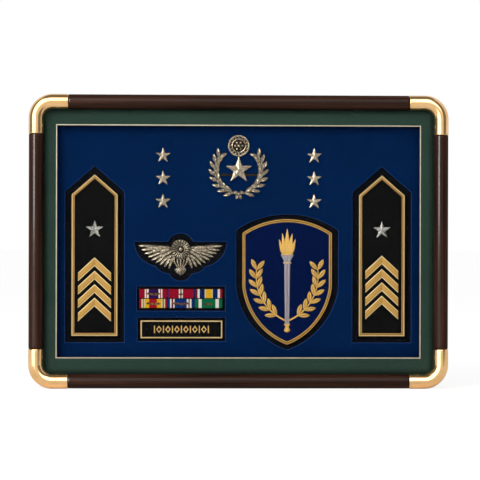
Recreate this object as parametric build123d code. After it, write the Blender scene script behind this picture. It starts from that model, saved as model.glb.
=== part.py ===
"""Wall and table display case for badges: a glazed walnut frame with brass elbow corners, a two-level
suede mount and a removable back. Millimetres, +X right, +Y to the back, +Z up, standing on Z = 0."""

from build123d import *
from math import atan2, cos, degrees, pi, radians, sin, sqrt
import os

# Case
WIDTH = 446.0  # over the brass corners
HEIGHT = 312.0
FRAME_DEPTH = 40.0  # front of the moulding to the back of the frame
FACE_WIDTH = 16.0  # half-round front of the moulding
LIP_DEPTH = 12.0  # front of the moulding to the glass
WALL = 11.0  # frame wall beside the rebate
CORNER_RADIUS = 25.5  # outer radius of the brass elbow
CORNER_ARM = 42.0  # outer corner to the end of the brass
CAP_WALL = 1.5  # thickness of the brass
CAP_PROUD = 0.3  # the brass stands this far outside the wood
SPIGOT = 10.0  # end of each rail that runs inside the brass
SEAT_FLATS = 4  # flats round the nose of the wood inside the brass
DOWEL_RADIUS = 2.5
DOWEL_LENGTH = 20.0
DOWEL_DEPTH = 24.0  # dowel axis behind the front of the moulding
CORNER_SCREW_RADIUS = 1.2
CORNER_SCREW_HEAD = 2.3
CORNER_SCREW_LENGTH = 7.0
CORNER_SCREW_DEPTH = 33.0  # screw axis behind the front of the moulding

# Layers between the lip and the back of the frame
PANEL_CLEARANCE = 0.5  # all round each layer, in the rebate
GLASS_THICKNESS = 2.0
OUTER_MAT_THICKNESS = 1.6
MAT_SIDE_BORDER = 12.5  # green suede in view, left and right of the window
MAT_END_BORDER = 15.5  # and above and below it
FILLET_BEAD = 2.0  # width of the gilt bead inside the window
FILLET_BEAD_DEPTH = 1.0
FILLET_FLANGE = 6.0  # flange glued behind the outer mat
FILLET_FLANGE_THICKNESS = 1.2
RISER_DEPTH = 8.0
RISER_SETBACK = 3.0  # behind the bead, so that the riser stays out of sight
INNER_MAT_THICKNESS = 3.0
CARD_THICKNESS = 1.5
BACK_PANEL_THICKNESS = 3.0
BACK_PANEL_RECESS = 0.3  # back panel below the back of the frame

# Turn buttons on the back
BUTTON_THICKNESS = 1.5
BUTTON_PIVOT_RADIUS = 4.0
BUTTON_TIP_RADIUS = 2.6
BUTTON_REACH = 12.0  # pivot to the centre of the tip
BUTTON_SPACING = 230.0  # between the two buttons of one long rail
BUTTON_SCREW_RADIUS = 1.4
BUTTON_SCREW_HEAD = 2.9
BUTTON_SCREW_HEAD_HEIGHT = 1.4
BUTTON_SCREW_LENGTH = 9.0  # in the wood
RUNNING_CLEARANCE = 0.08  # radial, round every turning screw or wire
END_PLAY = 0.1

# D-ring hangers on the back
HANGER_HEIGHT = 236.0  # ring axis above the base
STRAP_WIDTH = 7.0
STRAP_LENGTH = 24.0
STRAP_THICKNESS = 1.0
RING_WIRE_RADIUS = 0.9
RING_SIDE_GAP = 0.3
RING_BACK_GAP = 0.4
RING_ARM = 4.0
RING_BEND_RADIUS = 1.0
HANGER_SCREW_RADIUS = 1.1
HANGER_SCREW_HEAD = 2.0
HANGER_SCREW_HEAD_HEIGHT = 1.1
HANGER_SCREW_LENGTH = 8.0
HANGER_SCREW_DROPS = (13.5, 19.5)  # below the ring axis

# Rubber wall bumpers, the rearmost pieces
BUMPER_RADIUS = 4.5
BUMPER_HEIGHT = 4.5
BUMPER_RISE = 50.0

# Pins and clutches
POST_RADIUS = 0.6
POST_CLEARANCE = 0.05
CLUTCH_RADIUS = 4.2
CLUTCH_THICKNESS = 2.5
CLUTCH_ROOM = 0.8

# Star pins, three in a column each side. Contents are placed from the middle of the case. Where they
# spread out or close up with the opening, their place is a share of half the opening.
PIN_STAR_RADIUS = 8.8
PIN_STAR_RISE = 2.0
PIN_STAR_PLATE = 0.8
PIN_STAR_X_SHARE = 0.42
PIN_STAR_Z_SHARE = 0.55  # middle star
PIN_STAR_PITCH = 24.5

# Shoulder boards
BOARD_EDGE_GAP = 14.4  # braid to the side of the opening
BOARD_HALF_WIDTH = 24.5  # over the braid
BOARD_APEX = 71.3
BOARD_SHOULDER = 49.9
BOARD_BOTTOM = -100.9
BOARD_MARGIN = 1.5  # cloth outside the braid
BOARD_THICKNESS = 4.0
BOARD_CUTOUT = 7.0  # braid to the edge of the cut-out
BRAID_WIDTH = 3.2
BRAID_THICKNESS = 0.8
BOARD_STAR_Z = 12.6
BOARD_STAR_RADIUS = 10.2
BOARD_STAR_RISE = 2.0
CHEVRON_COUNT = 4
CHEVRON_TOP = -15.2
CHEVRON_PITCH = 14.3
CHEVRON_HALF_WIDTH = 18.0
CHEVRON_DROP = 18.4  # apex to the end of an arm
CHEVRON_BAND = 9.0  # height of the band
CHEVRON_THICKNESS = 0.7

# Shield patch
SHIELD_GAP_SHARE = 0.391  # gap to the right board, as a share of the spare width between the boards
SHIELD_Z_SHARE = -0.351  # its middle
SHIELD_HALF_WIDTH = 49.5
SHIELD_HEIGHT = 134.4
SHIELD_ARCH = 14.8  # crown above the corners
SHIELD_SIDE = 61.7  # straight side below a corner
SHIELD_BORDER = 3.7
SHIELD_THICKNESS = 2.5
SHIELD_BORDER_RISE = 1.0
SHIELD_CHARGE_RISE = 1.2
SHIELD_CUTOUT = 5.2
TORCH_RISE = 13.2  # foot of the torch above the tip of the shield
TORCH_LENGTH = 83.0  # foot to bowl
FLAME_HEIGHT = 28.4
TORCH_HALF_WIDTH = 3.2
SPRAY_HALF_WIDTH = 36.5
SPRAY_STEM = 1.6
SPRAY_LEAVES = 7
SPRAY_LEAF_LENGTH = 13.0
SPRAY_LEAF_WIDTH = 5.2

# Winged badge
WINGED_GAP_SHARE = 0.313  # gap to the left board, as a share of the spare width between the boards
WING_SPAN = 90.0
WING_TOP = -4.5
WING_THICKNESS = 1.2
FEATHERS = 9
FEATHER_WIDTH = 4.6
ROUNDEL_Z = -8.5
ROUNDEL_RADIUS = 10.8
ROUNDEL_RISE = 3.2
WINGED_CUTOUT = 4.3  # wings to the edge of the cut-out
ROUNDEL_CUTOUT = 6.4

# Ribbon bars
COLUMN_INSET = 0.25  # ribbons and name plate end this far inside the wing tip
RIBBON_COLUMNS = 3
RIBBON_ROWS = 2
RIBBON_WIDTH = 29.3
RIBBON_HEIGHT = 9.7
RIBBON_THICKNESS = 2.0
RIBBON_GAP = 0.3
RIBBON_ROW_GAP = 0.8
RIBBON_TOP = -50.9
RACK_THICKNESS = 1.5
RIBBON_CUTOUT = 3.0

# Name plate
PLATE_TOP = -84.4
PLATE_WIDTH = 87.3
PLATE_HEIGHT = 19.0
PLATE_THICKNESS = 2.0
PLATE_BORDER = 1.8
PLATE_BORDER_RISE = 0.6
PLATE_CUTOUT = 3.2

# Wreath badge
WREATH_RADIUS = 25.5
WREATH_LEAVES = 8  # pairs on each branch
WREATH_LEAF_LENGTH = 10.5
WREATH_LEAF_WIDTH = 4.4
WREATH_THICKNESS = 1.6
WREATH_STEM = 1.8
WREATH_TIE_WIDTH = 9.0  # ribbon tie where the two branches meet
WREATH_TIE_HEIGHT = 5.5
WREATH_STRUT = 2.4  # bars behind the star and the rosette
WREATH_STAR_RADIUS = 15.0
WREATH_STAR_RISE = 4.0
ROSETTE_Z_SHARE = 0.837
ROSETTE_LIFT = 26.0  # rosette above the middle of the wreath
ROSETTE_RADIUS = 11.9
ROSETTE_THICKNESS = 2.4
BADGE_POST_SPREAD = 20.0

# Depths behind the front of the moulding
NOSE_RADIUS = FACE_WIDTH / 2
MAT_FRONT = LIP_DEPTH + GLASS_THICKNESS
MAT_BACK = MAT_FRONT + OUTER_MAT_THICKNESS
FLANGE_BACK = MAT_BACK + FILLET_FLANGE_THICKNESS
RISER_BACK = FLANGE_BACK + RISER_DEPTH
INNER_MAT_BACK = RISER_BACK + INNER_MAT_THICKNESS
CARD_BACK = INNER_MAT_BACK + CARD_THICKNESS
PANEL_BACK = FRAME_DEPTH - BACK_PANEL_RECESS
PANEL_FRONT = PANEL_BACK - BACK_PANEL_THICKNESS
RING_AXIS = FRAME_DEPTH + STRAP_THICKNESS + RING_BACK_GAP + RING_WIRE_RADIUS

FRONT_Y = -(FRAME_DEPTH + BUMPER_HEIGHT) / 2
LEFT = -WIDTH / 2
REBATE_WIDTH = WIDTH - 2 * WALL
REBATE_HEIGHT = HEIGHT - 2 * WALL
LAYER_WIDTH = REBATE_WIDTH - 2 * PANEL_CLEARANCE
LAYER_HEIGHT = REBATE_HEIGHT - 2 * PANEL_CLEARANCE
WINDOW_WIDTH = WIDTH - 2 * (FACE_WIDTH + MAT_SIDE_BORDER)
WINDOW_HEIGHT = HEIGHT - 2 * (FACE_WIDTH + MAT_END_BORDER)
BEAD_WIDTH = WINDOW_WIDTH - 2 * FILLET_BEAD
BEAD_HEIGHT = WINDOW_HEIGHT - 2 * FILLET_BEAD
RAIL_MIDDLE = (CAP_PROUD + WALL) / 2  # middle of the back face of a rail, from the outer edge

# Places of the contents
PIN_STAR_X = PIN_STAR_X_SHARE * BEAD_WIDTH / 2
PIN_STAR_Z = PIN_STAR_Z_SHARE * BEAD_HEIGHT / 2
BOARD_X = BEAD_WIDTH / 2 - BOARD_EDGE_GAP - BOARD_HALF_WIDTH
BOARD_INNER = BOARD_X - BOARD_HALF_WIDTH - BOARD_MARGIN
SPARE_WIDTH = 2 * BOARD_INNER - WING_SPAN - 2 * SHIELD_HALF_WIDTH
WINGED_X = -BOARD_INNER + WINGED_GAP_SHARE * SPARE_WIDTH + WING_SPAN / 2
SHIELD_X = BOARD_INNER - SHIELD_GAP_SHARE * SPARE_WIDTH - SHIELD_HALF_WIDTH
SHIELD_CROWN = SHIELD_Z_SHARE * BEAD_HEIGHT / 2 + SHIELD_HEIGHT / 2
SHIELD_CORNER = SHIELD_CROWN - SHIELD_ARCH
SHIELD_WAIST = SHIELD_CORNER - SHIELD_SIDE
SHIELD_TIP = SHIELD_CROWN - SHIELD_HEIGHT
TORCH_FOOT = SHIELD_TIP + TORCH_RISE
TORCH_BOWL = TORCH_FOOT + TORCH_LENGTH
TORCH_TOP = TORCH_BOWL + FLAME_HEIGHT
RACK_WIDTH = RIBBON_COLUMNS * RIBBON_WIDTH + (RIBBON_COLUMNS - 1) * RIBBON_GAP
RACK_HEIGHT = RIBBON_ROWS * RIBBON_HEIGHT + (RIBBON_ROWS - 1) * RIBBON_ROW_GAP
RACK_X = WINGED_X + WING_SPAN / 2 - COLUMN_INSET - RACK_WIDTH / 2
RACK_Z = RIBBON_TOP - RACK_HEIGHT / 2
PLATE_X = WINGED_X + WING_SPAN / 2 - COLUMN_INSET - PLATE_WIDTH / 2
PLATE_Z = PLATE_TOP - PLATE_HEIGHT / 2
ROSETTE_Z = ROSETTE_Z_SHARE * BEAD_HEIGHT / 2
WREATH_Z = ROSETTE_Z - ROSETTE_LIFT

os.makedirs("parts", exist_ok=True)


def save(name, *solids):
    """Write one node, as one solid or as a group of separate ones."""
    shape = solids[0] if len(solids) == 1 else Compound(children=list(solids))
    export_step(shape, f"parts/{name}.step")


def front_plane(depth):
    """Upright plane at a depth behind the front, seen from the front, with its origin mid-case."""
    return Plane(origin=(0, FRONT_Y + depth, HEIGHT / 2), x_dir=(1, 0, 0), z_dir=(0, -1, 0))


def raised(sketch, seat, thickness, taper=0.0):
    """A plate that stands on a seat at this depth and rises towards the front."""
    return extrude(front_plane(seat) * sketch, thickness, taper=taper)


def layer(sketch, front, back):
    """A plate that fills the depth from front to back."""
    return raised(sketch, back, back - front)


def rod(start, end, radius):
    """A round bar between two points."""
    along = Vector(*end) - Vector(*start)
    return extrude(Plane(origin=start, z_dir=along) * Circle(radius), along.length)


def box_between(low, high):
    """A block between two opposite corners."""
    size = [b - a for a, b in zip(low, high)]
    return Pos(*low) * Box(*size, align=(Align.MIN, Align.MIN, Align.MIN))


def top_twin(shape):
    return mirror(shape, about=Plane.XY.offset(HEIGHT / 2))


def right_twin(shape):
    return mirror(shape, about=Plane.YZ)


# ---- Frame -------------------------------------------------------------------------------------
# Every section is drawn from the outer edge inwards (first axis) and from the front backwards.


def back_of_moulding(outer, sight):
    """The straight sides of a wood section, from its sight edge round the rebate to the outside."""
    return Polyline(
        (sight, NOSE_RADIUS), (sight, LIP_DEPTH), (WALL, LIP_DEPTH), (WALL, FRAME_DEPTH),
        (outer, FRAME_DEPTH), (outer, NOSE_RADIUS),
    )


def rail_section():
    """Half-round moulding with its rebate."""
    sight = FACE_WIDTH - CAP_PROUD
    nose = ThreePointArc((CAP_PROUD, NOSE_RADIUS), (NOSE_RADIUS, CAP_PROUD), (sight, NOSE_RADIUS))
    return make_face(nose + back_of_moulding(CAP_PROUD, sight))


def seat_nose():
    """Line where brass and wood meet round the nose: four flats planed inside the half round."""
    radius = NOSE_RADIUS - CAP_WALL
    angles = [radians(180 + 180 * step / SEAT_FLATS) for step in range(SEAT_FLATS + 1)]
    return Polyline(
        *[(NOSE_RADIUS + radius * cos(angle), NOSE_RADIUS + radius * sin(angle)) for angle in angles]
    )


def spigot_section():
    """Wood inside the brass: the moulding, reduced by the thickness of the brass."""
    return make_face(seat_nose() + back_of_moulding(CAP_WALL, FACE_WIDTH - CAP_WALL))


def cap_section():
    """Brass channel that wraps the outside, the nose and the sight edge of the moulding."""
    sight = FACE_WIDTH - CAP_WALL
    nose = ThreePointArc((0, NOSE_RADIUS), (NOSE_RADIUS, 0), (FACE_WIDTH, NOSE_RADIUS))
    lip = Polyline(
        (FACE_WIDTH, NOSE_RADIUS), (FACE_WIDTH, LIP_DEPTH), (sight, LIP_DEPTH), (sight, NOSE_RADIUS)
    )
    skirt = Polyline(
        (CAP_WALL, NOSE_RADIUS), (CAP_WALL, FRAME_DEPTH), (0, FRAME_DEPTH), (0, NOSE_RADIUS)
    )
    return make_face(nose + lip + seat_nose() + skirt)


def along_bottom(section, start, end):
    """Run a section along the bottom edge, between two distances from the left edge."""
    plane = Plane(origin=(LEFT + start, FRONT_Y, 0), x_dir=(0, 0, 1), z_dir=(-1, 0, 0))
    return extrude(plane * section, end - start, dir=(1, 0, 0))


def along_left(section, start, end):
    """Run a section up the left edge, between two heights."""
    plane = Plane(origin=(LEFT, FRONT_Y, start), x_dir=(1, 0, 0), z_dir=(0, 0, 1))
    return extrude(plane * section, end - start, dir=(0, 0, 1))


def round_corner(section):
    """Turn a section through the bottom left corner."""
    plane = Plane(
        origin=(LEFT + CORNER_RADIUS, FRONT_Y, 0), x_dir=(0, 0, 1), z_dir=(-1, 0, 0)
    )
    axis = Axis((LEFT + CORNER_RADIUS, 0, CORNER_RADIUS), (0, 1, 0))
    return revolve(plane * section, axis, 90)


def elbow(section, arm):
    """Both arms and the bend of the bottom left corner, out to arm from the outer corner."""
    return (
        round_corner(section)
        + along_bottom(section, CORNER_RADIUS, arm)
        + along_left(section, CORNER_RADIUS, arm)
    )


def rail(run, length):
    """Rail between two brass corners: full section, with a reduced spigot at each end."""
    middle = run(rail_section(), CORNER_ARM, length - CORNER_ARM)
    spigots = run(spigot_section(), CORNER_ARM - SPIGOT, length - CORNER_ARM + SPIGOT)
    return middle + spigots


def bottom_dowel(radius):
    """Dowel between the corner block and the bottom rail."""
    joint = LEFT + CORNER_ARM - SPIGOT
    y, z = FRONT_Y + DOWEL_DEPTH, (CAP_WALL + WALL) / 2
    return rod((joint - DOWEL_LENGTH / 2, y, z), (joint + DOWEL_LENGTH / 2, y, z), radius)


def left_dowel(radius):
    """Dowel between the corner block and the left rail."""
    joint = CORNER_ARM - SPIGOT
    x, y = LEFT + (CAP_WALL + WALL) / 2, FRONT_Y + DOWEL_DEPTH
    return rod((x, y, joint - DOWEL_LENGTH / 2), (x, y, joint + DOWEL_LENGTH / 2), radius)


def countersunk_screw():
    """Screw with its head flush at Z = 0 and its shank along +Z."""
    cone = CORNER_SCREW_HEAD - CORNER_SCREW_RADIUS
    half = Polyline(
        (0, 0), (CORNER_SCREW_HEAD, 0), (CORNER_SCREW_RADIUS, cone),
        (CORNER_SCREW_RADIUS, CORNER_SCREW_LENGTH), (0, CORNER_SCREW_LENGTH), close=True,
    )
    return revolve(Plane.XZ * make_face(half), Axis.Z, 360)


CORNER_SCREW_X = LEFT + CORNER_ARM - SPIGOT / 2
bottom_corner_screw = Pos(CORNER_SCREW_X, FRONT_Y + CORNER_SCREW_DEPTH, 0) * countersunk_screw()
left_corner_screw = (
    Pos(LEFT, FRONT_Y + CORNER_SCREW_DEPTH, CORNER_ARM - SPIGOT / 2)
    * Rot(0, 90, 0) * countersunk_screw()
)


def on_back(x, z, depth=FRAME_DEPTH):
    """Plane on the back of the case, facing backwards."""
    return Plane(origin=(x, FRONT_Y + depth, z), x_dir=(1, 0, 0), z_dir=(0, 1, 0))


def blind_hole(x, z, radius, depth):
    """Drilling into the back face of a rail."""
    return extrude(on_back(x, z) * Circle(radius), -depth)


BUTTON_HOLES = [(x, RAIL_MIDDLE) for x in (-BUTTON_SPACING / 2, BUTTON_SPACING / 2)]
BUTTON_PIVOTS = (  # place, and turn of the tip from straight down
    [(x, HEIGHT - z, 0) for x, z in BUTTON_HOLES]
    + [(x, z, 180) for x, z in BUTTON_HOLES]
    + [(LEFT + RAIL_MIDDLE, HEIGHT / 2, -90), (-LEFT - RAIL_MIDDLE, HEIGHT / 2, 90)]
)
HANGER_X = LEFT + RAIL_MIDDLE

bottom_rail = rail(along_bottom, WIDTH) - bottom_dowel(DOWEL_RADIUS) - bottom_corner_screw
bottom_rail -= right_twin(bottom_dowel(DOWEL_RADIUS)) + right_twin(bottom_corner_screw)
for hole_x, hole_z in BUTTON_HOLES:
    bottom_rail -= blind_hole(hole_x, hole_z, BUTTON_SCREW_RADIUS, BUTTON_SCREW_LENGTH)

left_rail = rail(along_left, HEIGHT) - left_dowel(DOWEL_RADIUS) - left_corner_screw
left_rail -= top_twin(left_dowel(DOWEL_RADIUS)) + top_twin(left_corner_screw)
left_rail -= blind_hole(LEFT + RAIL_MIDDLE, HEIGHT / 2, BUTTON_SCREW_RADIUS, BUTTON_SCREW_LENGTH)
for drop in HANGER_SCREW_DROPS:
    left_rail -= blind_hole(HANGER_X, HANGER_HEIGHT - drop, HANGER_SCREW_RADIUS, HANGER_SCREW_LENGTH)

rebate = box_between(
    (LEFT + WALL, FRONT_Y + LIP_DEPTH, WALL), (-LEFT - WALL, FRONT_Y + FRAME_DEPTH, HEIGHT - WALL)
)
core = elbow(spigot_section(), CORNER_ARM - SPIGOT) - rebate
core -= bottom_dowel(DOWEL_RADIUS) + left_dowel(DOWEL_RADIUS)
cap = elbow(cap_section(), CORNER_ARM) - bottom_corner_screw - left_corner_screw

save("rail_bottom", bottom_rail)
save("rail_top", top_twin(bottom_rail))
save("rail_left", left_rail)
save("rail_right", right_twin(left_rail))
corner_fixings, dowels = [], []
for upper in (False, True):
    for right in (False, True):
        name = ("top" if upper else "bottom") + ("_right" if right else "_left")
        pieces = [core, cap, bottom_dowel(DOWEL_RADIUS), left_dowel(DOWEL_RADIUS)]
        pieces += [bottom_corner_screw, left_corner_screw]
        if upper:
            pieces = [top_twin(piece) for piece in pieces]
        if right:
            pieces = [right_twin(piece) for piece in pieces]
        save(f"corner_block_{name}", pieces[0])
        save(f"corner_cap_{name}", pieces[1])
        dowels += pieces[2:4]
        corner_fixings += pieces[4:]
save("corner_dowels", *dowels)
save("corner_screws", *corner_fixings)

# ---- Star, board and shield outlines -----------------------------------------------------------


def star_outline(radius):
    """Upright five-pointed star whose arms are straight from point to point."""
    inner = radius * sin(radians(18)) / sin(radians(54))
    points = []
    for index in range(10):
        reach = radius if index % 2 == 0 else inner
        angle = radians(90 + 36 * index)
        points.append((reach * cos(angle), reach * sin(angle)))
    return make_face(Polyline(*points, close=True))


def faceted_star(x, z, seat, radius, plate, rise):
    """Star with a flat plate below and ten facets that meet at its centre."""
    base = raised(Pos(x, z) * star_outline(radius), seat, plate)
    plane = front_plane(seat - plate)
    peak = Vertex(*(plane * Pos(x, z, rise)).position)
    return base + loft([plane * Pos(x, z) * star_outline(radius), peak], ruled=True)


def board_outline(grow):
    """Pointed shoulder board, with each edge moved outwards by grow."""
    slope = (BOARD_APEX - BOARD_SHOULDER) / BOARD_HALF_WIDTH
    half = BOARD_HALF_WIDTH + grow
    apex = BOARD_APEX + grow * sqrt(1 + slope * slope)
    bottom = BOARD_BOTTOM - grow
    return make_face(
        Polyline(
            (0, apex), (half, apex - slope * half), (half, bottom), (-half, bottom),
            (-half, apex - slope * half), close=True,
        )
    )


def shield_outline(grow):
    """Shield with an arched top and a pointed foot, with each edge moved outwards by grow."""
    sagitta = SHIELD_CROWN - SHIELD_CORNER
    top_radius = (SHIELD_HALF_WIDTH**2 + sagitta**2) / (2 * sagitta)
    top_centre = SHIELD_CROWN - top_radius
    drop = SHIELD_WAIST - SHIELD_TIP
    side_radius = (SHIELD_HALF_WIDTH**2 + drop**2) / (2 * SHIELD_HALF_WIDTH)
    side_centre = SHIELD_HALF_WIDTH - side_radius
    half = SHIELD_HALF_WIDTH + grow
    corner = top_centre + sqrt((top_radius + grow) ** 2 - half**2)
    tip = SHIELD_WAIST - sqrt((side_radius + grow) ** 2 - side_centre**2)
    return make_face(
        ThreePointArc((-half, corner), (0, SHIELD_CROWN + grow), (half, corner))
        + Line((half, corner), (half, SHIELD_WAIST))
        + TangentArc((half, SHIELD_WAIST), (0, tip), tangent=(0, -1))
        + TangentArc((-half, SHIELD_WAIST), (0, tip), tangent=(0, -1))
        + Line((-half, corner), (-half, SHIELD_WAIST))
    )


def winged_cutout():
    """Opening round the winged badge: straight top with a round bulge, lobed below. Its lower points
    are shares of its half width."""
    half, top = WING_SPAN / 2 + WINGED_CUTOUT, WING_TOP + WINGED_CUTOUT

    def at(out, down):
        return (out * half, top - down * half)

    collar = ROUNDEL_RADIUS + ROUNDEL_CUTOUT * 0.375
    waist, end = at(0.538, 0.53), at(0.245, 0.684)
    right = (
        Line((collar, top), (half, top))
        + ThreePointArc((half, top), at(0.887, 0.324), waist)
        + ThreePointArc(waist, at(0.413, 0.648), end)
    )
    left = mirror(right, about=Plane.YZ)
    base = ThreePointArc(end, at(0, 0.85), (-end[0], end[1]))
    crest = ROUNDEL_Z + ROUNDEL_RADIUS + ROUNDEL_CUTOUT
    bulge = ThreePointArc((-collar, top), (0, crest), (collar, top))
    return make_face(right + base + left + bulge)


CUTOUTS = [
    Pos(-BOARD_X, 0) * board_outline(BOARD_CUTOUT),
    Pos(BOARD_X, 0) * board_outline(BOARD_CUTOUT),
    Pos(SHIELD_X, 0) * shield_outline(SHIELD_CUTOUT),
    Pos(WINGED_X, 0) * winged_cutout(),
    Pos(RACK_X, RACK_Z)
    * Rectangle(RACK_WIDTH + 2 * RIBBON_CUTOUT, RACK_HEIGHT + 2 * RIBBON_CUTOUT),
    Pos(PLATE_X, PLATE_Z)
    * Rectangle(PLATE_WIDTH + 2 * PLATE_CUTOUT, PLATE_HEIGHT + 2 * PLATE_CUTOUT),
]
STAR_PLACES = [
    (side * PIN_STAR_X, PIN_STAR_Z - row * PIN_STAR_PITCH) for side in (-1, 1) for row in (-1, 0, 1)
]
MAT_POSTS = STAR_PLACES + [(0, ROSETTE_Z), (0, WREATH_Z)]
CARD_POSTS = [
    (centre + side * spread, z)
    for centre, z, spread in (
        (WINGED_X, WING_TOP - 8, BADGE_POST_SPREAD),
        (RACK_X, RACK_Z, RACK_WIDTH / 2 - BADGE_POST_SPREAD / 2),
        (PLATE_X, PLATE_Z, PLATE_WIDTH / 2 - BADGE_POST_SPREAD / 2),
    )
    for side in (-1, 1)
]

# ---- Layers ------------------------------------------------------------------------------------

full_layer = Rectangle(LAYER_WIDTH, LAYER_HEIGHT)
bead_opening = Rectangle(BEAD_WIDTH, BEAD_HEIGHT)
post_hole = Circle(POST_RADIUS + POST_CLEARANCE)


def mitred(opening_width, opening_height, band):
    """The four mitred sides of a rectangular ring round an opening."""
    half_w, half_h = opening_width / 2, opening_height / 2
    sides = []
    for along, across in ((half_w, half_h), (half_h, half_w)):
        strip = make_face(
            Polyline(
                (-along, across), (along, across), (along + band, across + band),
                (-along - band, across + band), close=True,
            )
        )
        turn = 0 if along == half_w else 90
        sides += [Rot(0, 0, turn) * strip, Rot(0, 0, turn + 180) * strip]
    return sides


save("glass_pane", layer(full_layer, LIP_DEPTH, MAT_FRONT))
save("outer_mat", layer(full_layer - Rectangle(WINDOW_WIDTH, WINDOW_HEIGHT), MAT_FRONT, MAT_BACK))

fillet_sides = []
for flange, bead in zip(
    mitred(BEAD_WIDTH, BEAD_HEIGHT, FILLET_BEAD + FILLET_FLANGE),
    mitred(BEAD_WIDTH, BEAD_HEIGHT, FILLET_BEAD),
):
    side = layer(flange, MAT_BACK, FLANGE_BACK) + raised(bead, MAT_BACK, FILLET_BEAD_DEPTH)
    fillet_sides.append(side)
save("gold_fillet", *fillet_sides)

riser_width = BEAD_WIDTH + 2 * RISER_SETBACK
riser_height = BEAD_HEIGHT + 2 * RISER_SETBACK
bar = (LAYER_HEIGHT - riser_height) / 2
post = (LAYER_WIDTH - riser_width) / 2
riser_bars = [
    Pos(0, side * (riser_height + bar) / 2) * Rectangle(LAYER_WIDTH, bar) for side in (-1, 1)
] + [Pos(side * (riser_width + post) / 2, 0) * Rectangle(post, riser_height) for side in (-1, 1)]
save("riser_strips", *[layer(strip, FLANGE_BACK, RISER_BACK) for strip in riser_bars])

inner_mat = layer(full_layer, RISER_BACK, INNER_MAT_BACK)
for cutout in CUTOUTS:
    inner_mat -= layer(cutout, RISER_BACK, INNER_MAT_BACK)
for place in MAT_POSTS:
    inner_mat -= layer(Pos(*place) * post_hole, RISER_BACK, INNER_MAT_BACK)
save("inner_mat", inner_mat)

backing_card = layer(full_layer, INNER_MAT_BACK, CARD_BACK)
foam_filler = layer(full_layer, CARD_BACK, PANEL_FRONT)
clutch_pocket = Circle(CLUTCH_RADIUS + CLUTCH_ROOM)
clutches = []
for place in MAT_POSTS + CARD_POSTS:
    clutch_back = CARD_BACK + CLUTCH_THICKNESS
    backing_card -= layer(Pos(*place) * post_hole, INNER_MAT_BACK, CARD_BACK)
    foam_filler -= layer(Pos(*place) * clutch_pocket, CARD_BACK, clutch_back + CLUTCH_ROOM)
    clutch = Circle(CLUTCH_RADIUS) - Circle(POST_RADIUS)
    clutches.append(layer(Pos(*place) * clutch, CARD_BACK, clutch_back))
save("backing_card", backing_card)
save("foam_filler", foam_filler)
save("pin_clutches", *clutches)
save("back_panel", layer(full_layer, PANEL_FRONT, PANEL_BACK))


def with_posts(piece, places, seat):
    """Solder the pin posts on the back of a badge; each ends flush with its clutch."""
    for place in places:
        piece += layer(Pos(*place) * Circle(POST_RADIUS), seat, CARD_BACK + CLUTCH_THICKNESS)
    return piece


# ---- Back fittings -----------------------------------------------------------------------------


def turn_button(x, z, turn):
    """Flat pear-shaped plate that turns on its screw; its tip laps over the back panel."""
    pivot = CenterArc((0, 0), BUTTON_PIVOT_RADIUS, 0, 360)
    tip = CenterArc((0, BUTTON_REACH), BUTTON_TIP_RADIUS, 0, 360)
    outline = make_hull([pivot, tip]) - Circle(BUTTON_SCREW_RADIUS + RUNNING_CLEARANCE)
    return extrude(on_back(x, z) * Rot(0, 0, turn) * outline, BUTTON_THICKNESS)


def pan_screw(x, z, radius, head_radius, head_height, seat, length):
    """Pan-head screw: head under-side at seat, flat end at the bottom of its hole."""
    head = extrude(on_back(x, z, seat) * Circle(head_radius), head_height)
    head = chamfer(head.edges().sort_by(Axis.Y)[-1], head_height / 2)
    depth = seat - (FRAME_DEPTH - length)
    return head + extrude(on_back(x, z, seat) * Circle(radius), -depth)


button_screws = []
for number, (pivot_x, pivot_z, turn) in enumerate(BUTTON_PIVOTS, start=1):
    save(f"turn_button_{number}", turn_button(pivot_x, pivot_z, turn))
    button_screws.append(
        pan_screw(
            pivot_x, pivot_z, BUTTON_SCREW_RADIUS, BUTTON_SCREW_HEAD, BUTTON_SCREW_HEAD_HEIGHT,
            FRAME_DEPTH + BUTTON_THICKNESS + END_PLAY, BUTTON_SCREW_LENGTH,
        )
    )
save("button_screws", *button_screws)

RING_HALF = STRAP_WIDTH / 2 + RING_SIDE_GAP + RING_WIRE_RADIUS  # middle of a ring arm


def hanger_strap():
    """Plate with a rounded foot and a rolled eye at its top for the ring."""
    length = STRAP_LENGTH - STRAP_WIDTH / 2
    outline = Pos(0, -length / 2) * Rectangle(STRAP_WIDTH, length)
    outline += Pos(0, -length) * Circle(STRAP_WIDTH / 2)
    for drop in HANGER_SCREW_DROPS:
        outline -= Pos(0, -drop) * Circle(HANGER_SCREW_RADIUS)
    plate = Plane(origin=(HANGER_X, FRONT_Y + FRAME_DEPTH + STRAP_THICKNESS, HANGER_HEIGHT),
                  x_dir=(1, 0, 0), z_dir=(0, -1, 0))
    body = extrude(plate * outline, STRAP_THICKNESS)
    eye = RING_WIRE_RADIUS + RUNNING_CLEARANCE
    y = FRONT_Y + RING_AXIS
    ends = [(HANGER_X + side * STRAP_WIDTH / 2, y, HANGER_HEIGHT) for side in (-1, 1)]
    return body + rod(*ends, eye + STRAP_THICKNESS) - rod(*ends, eye)


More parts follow.
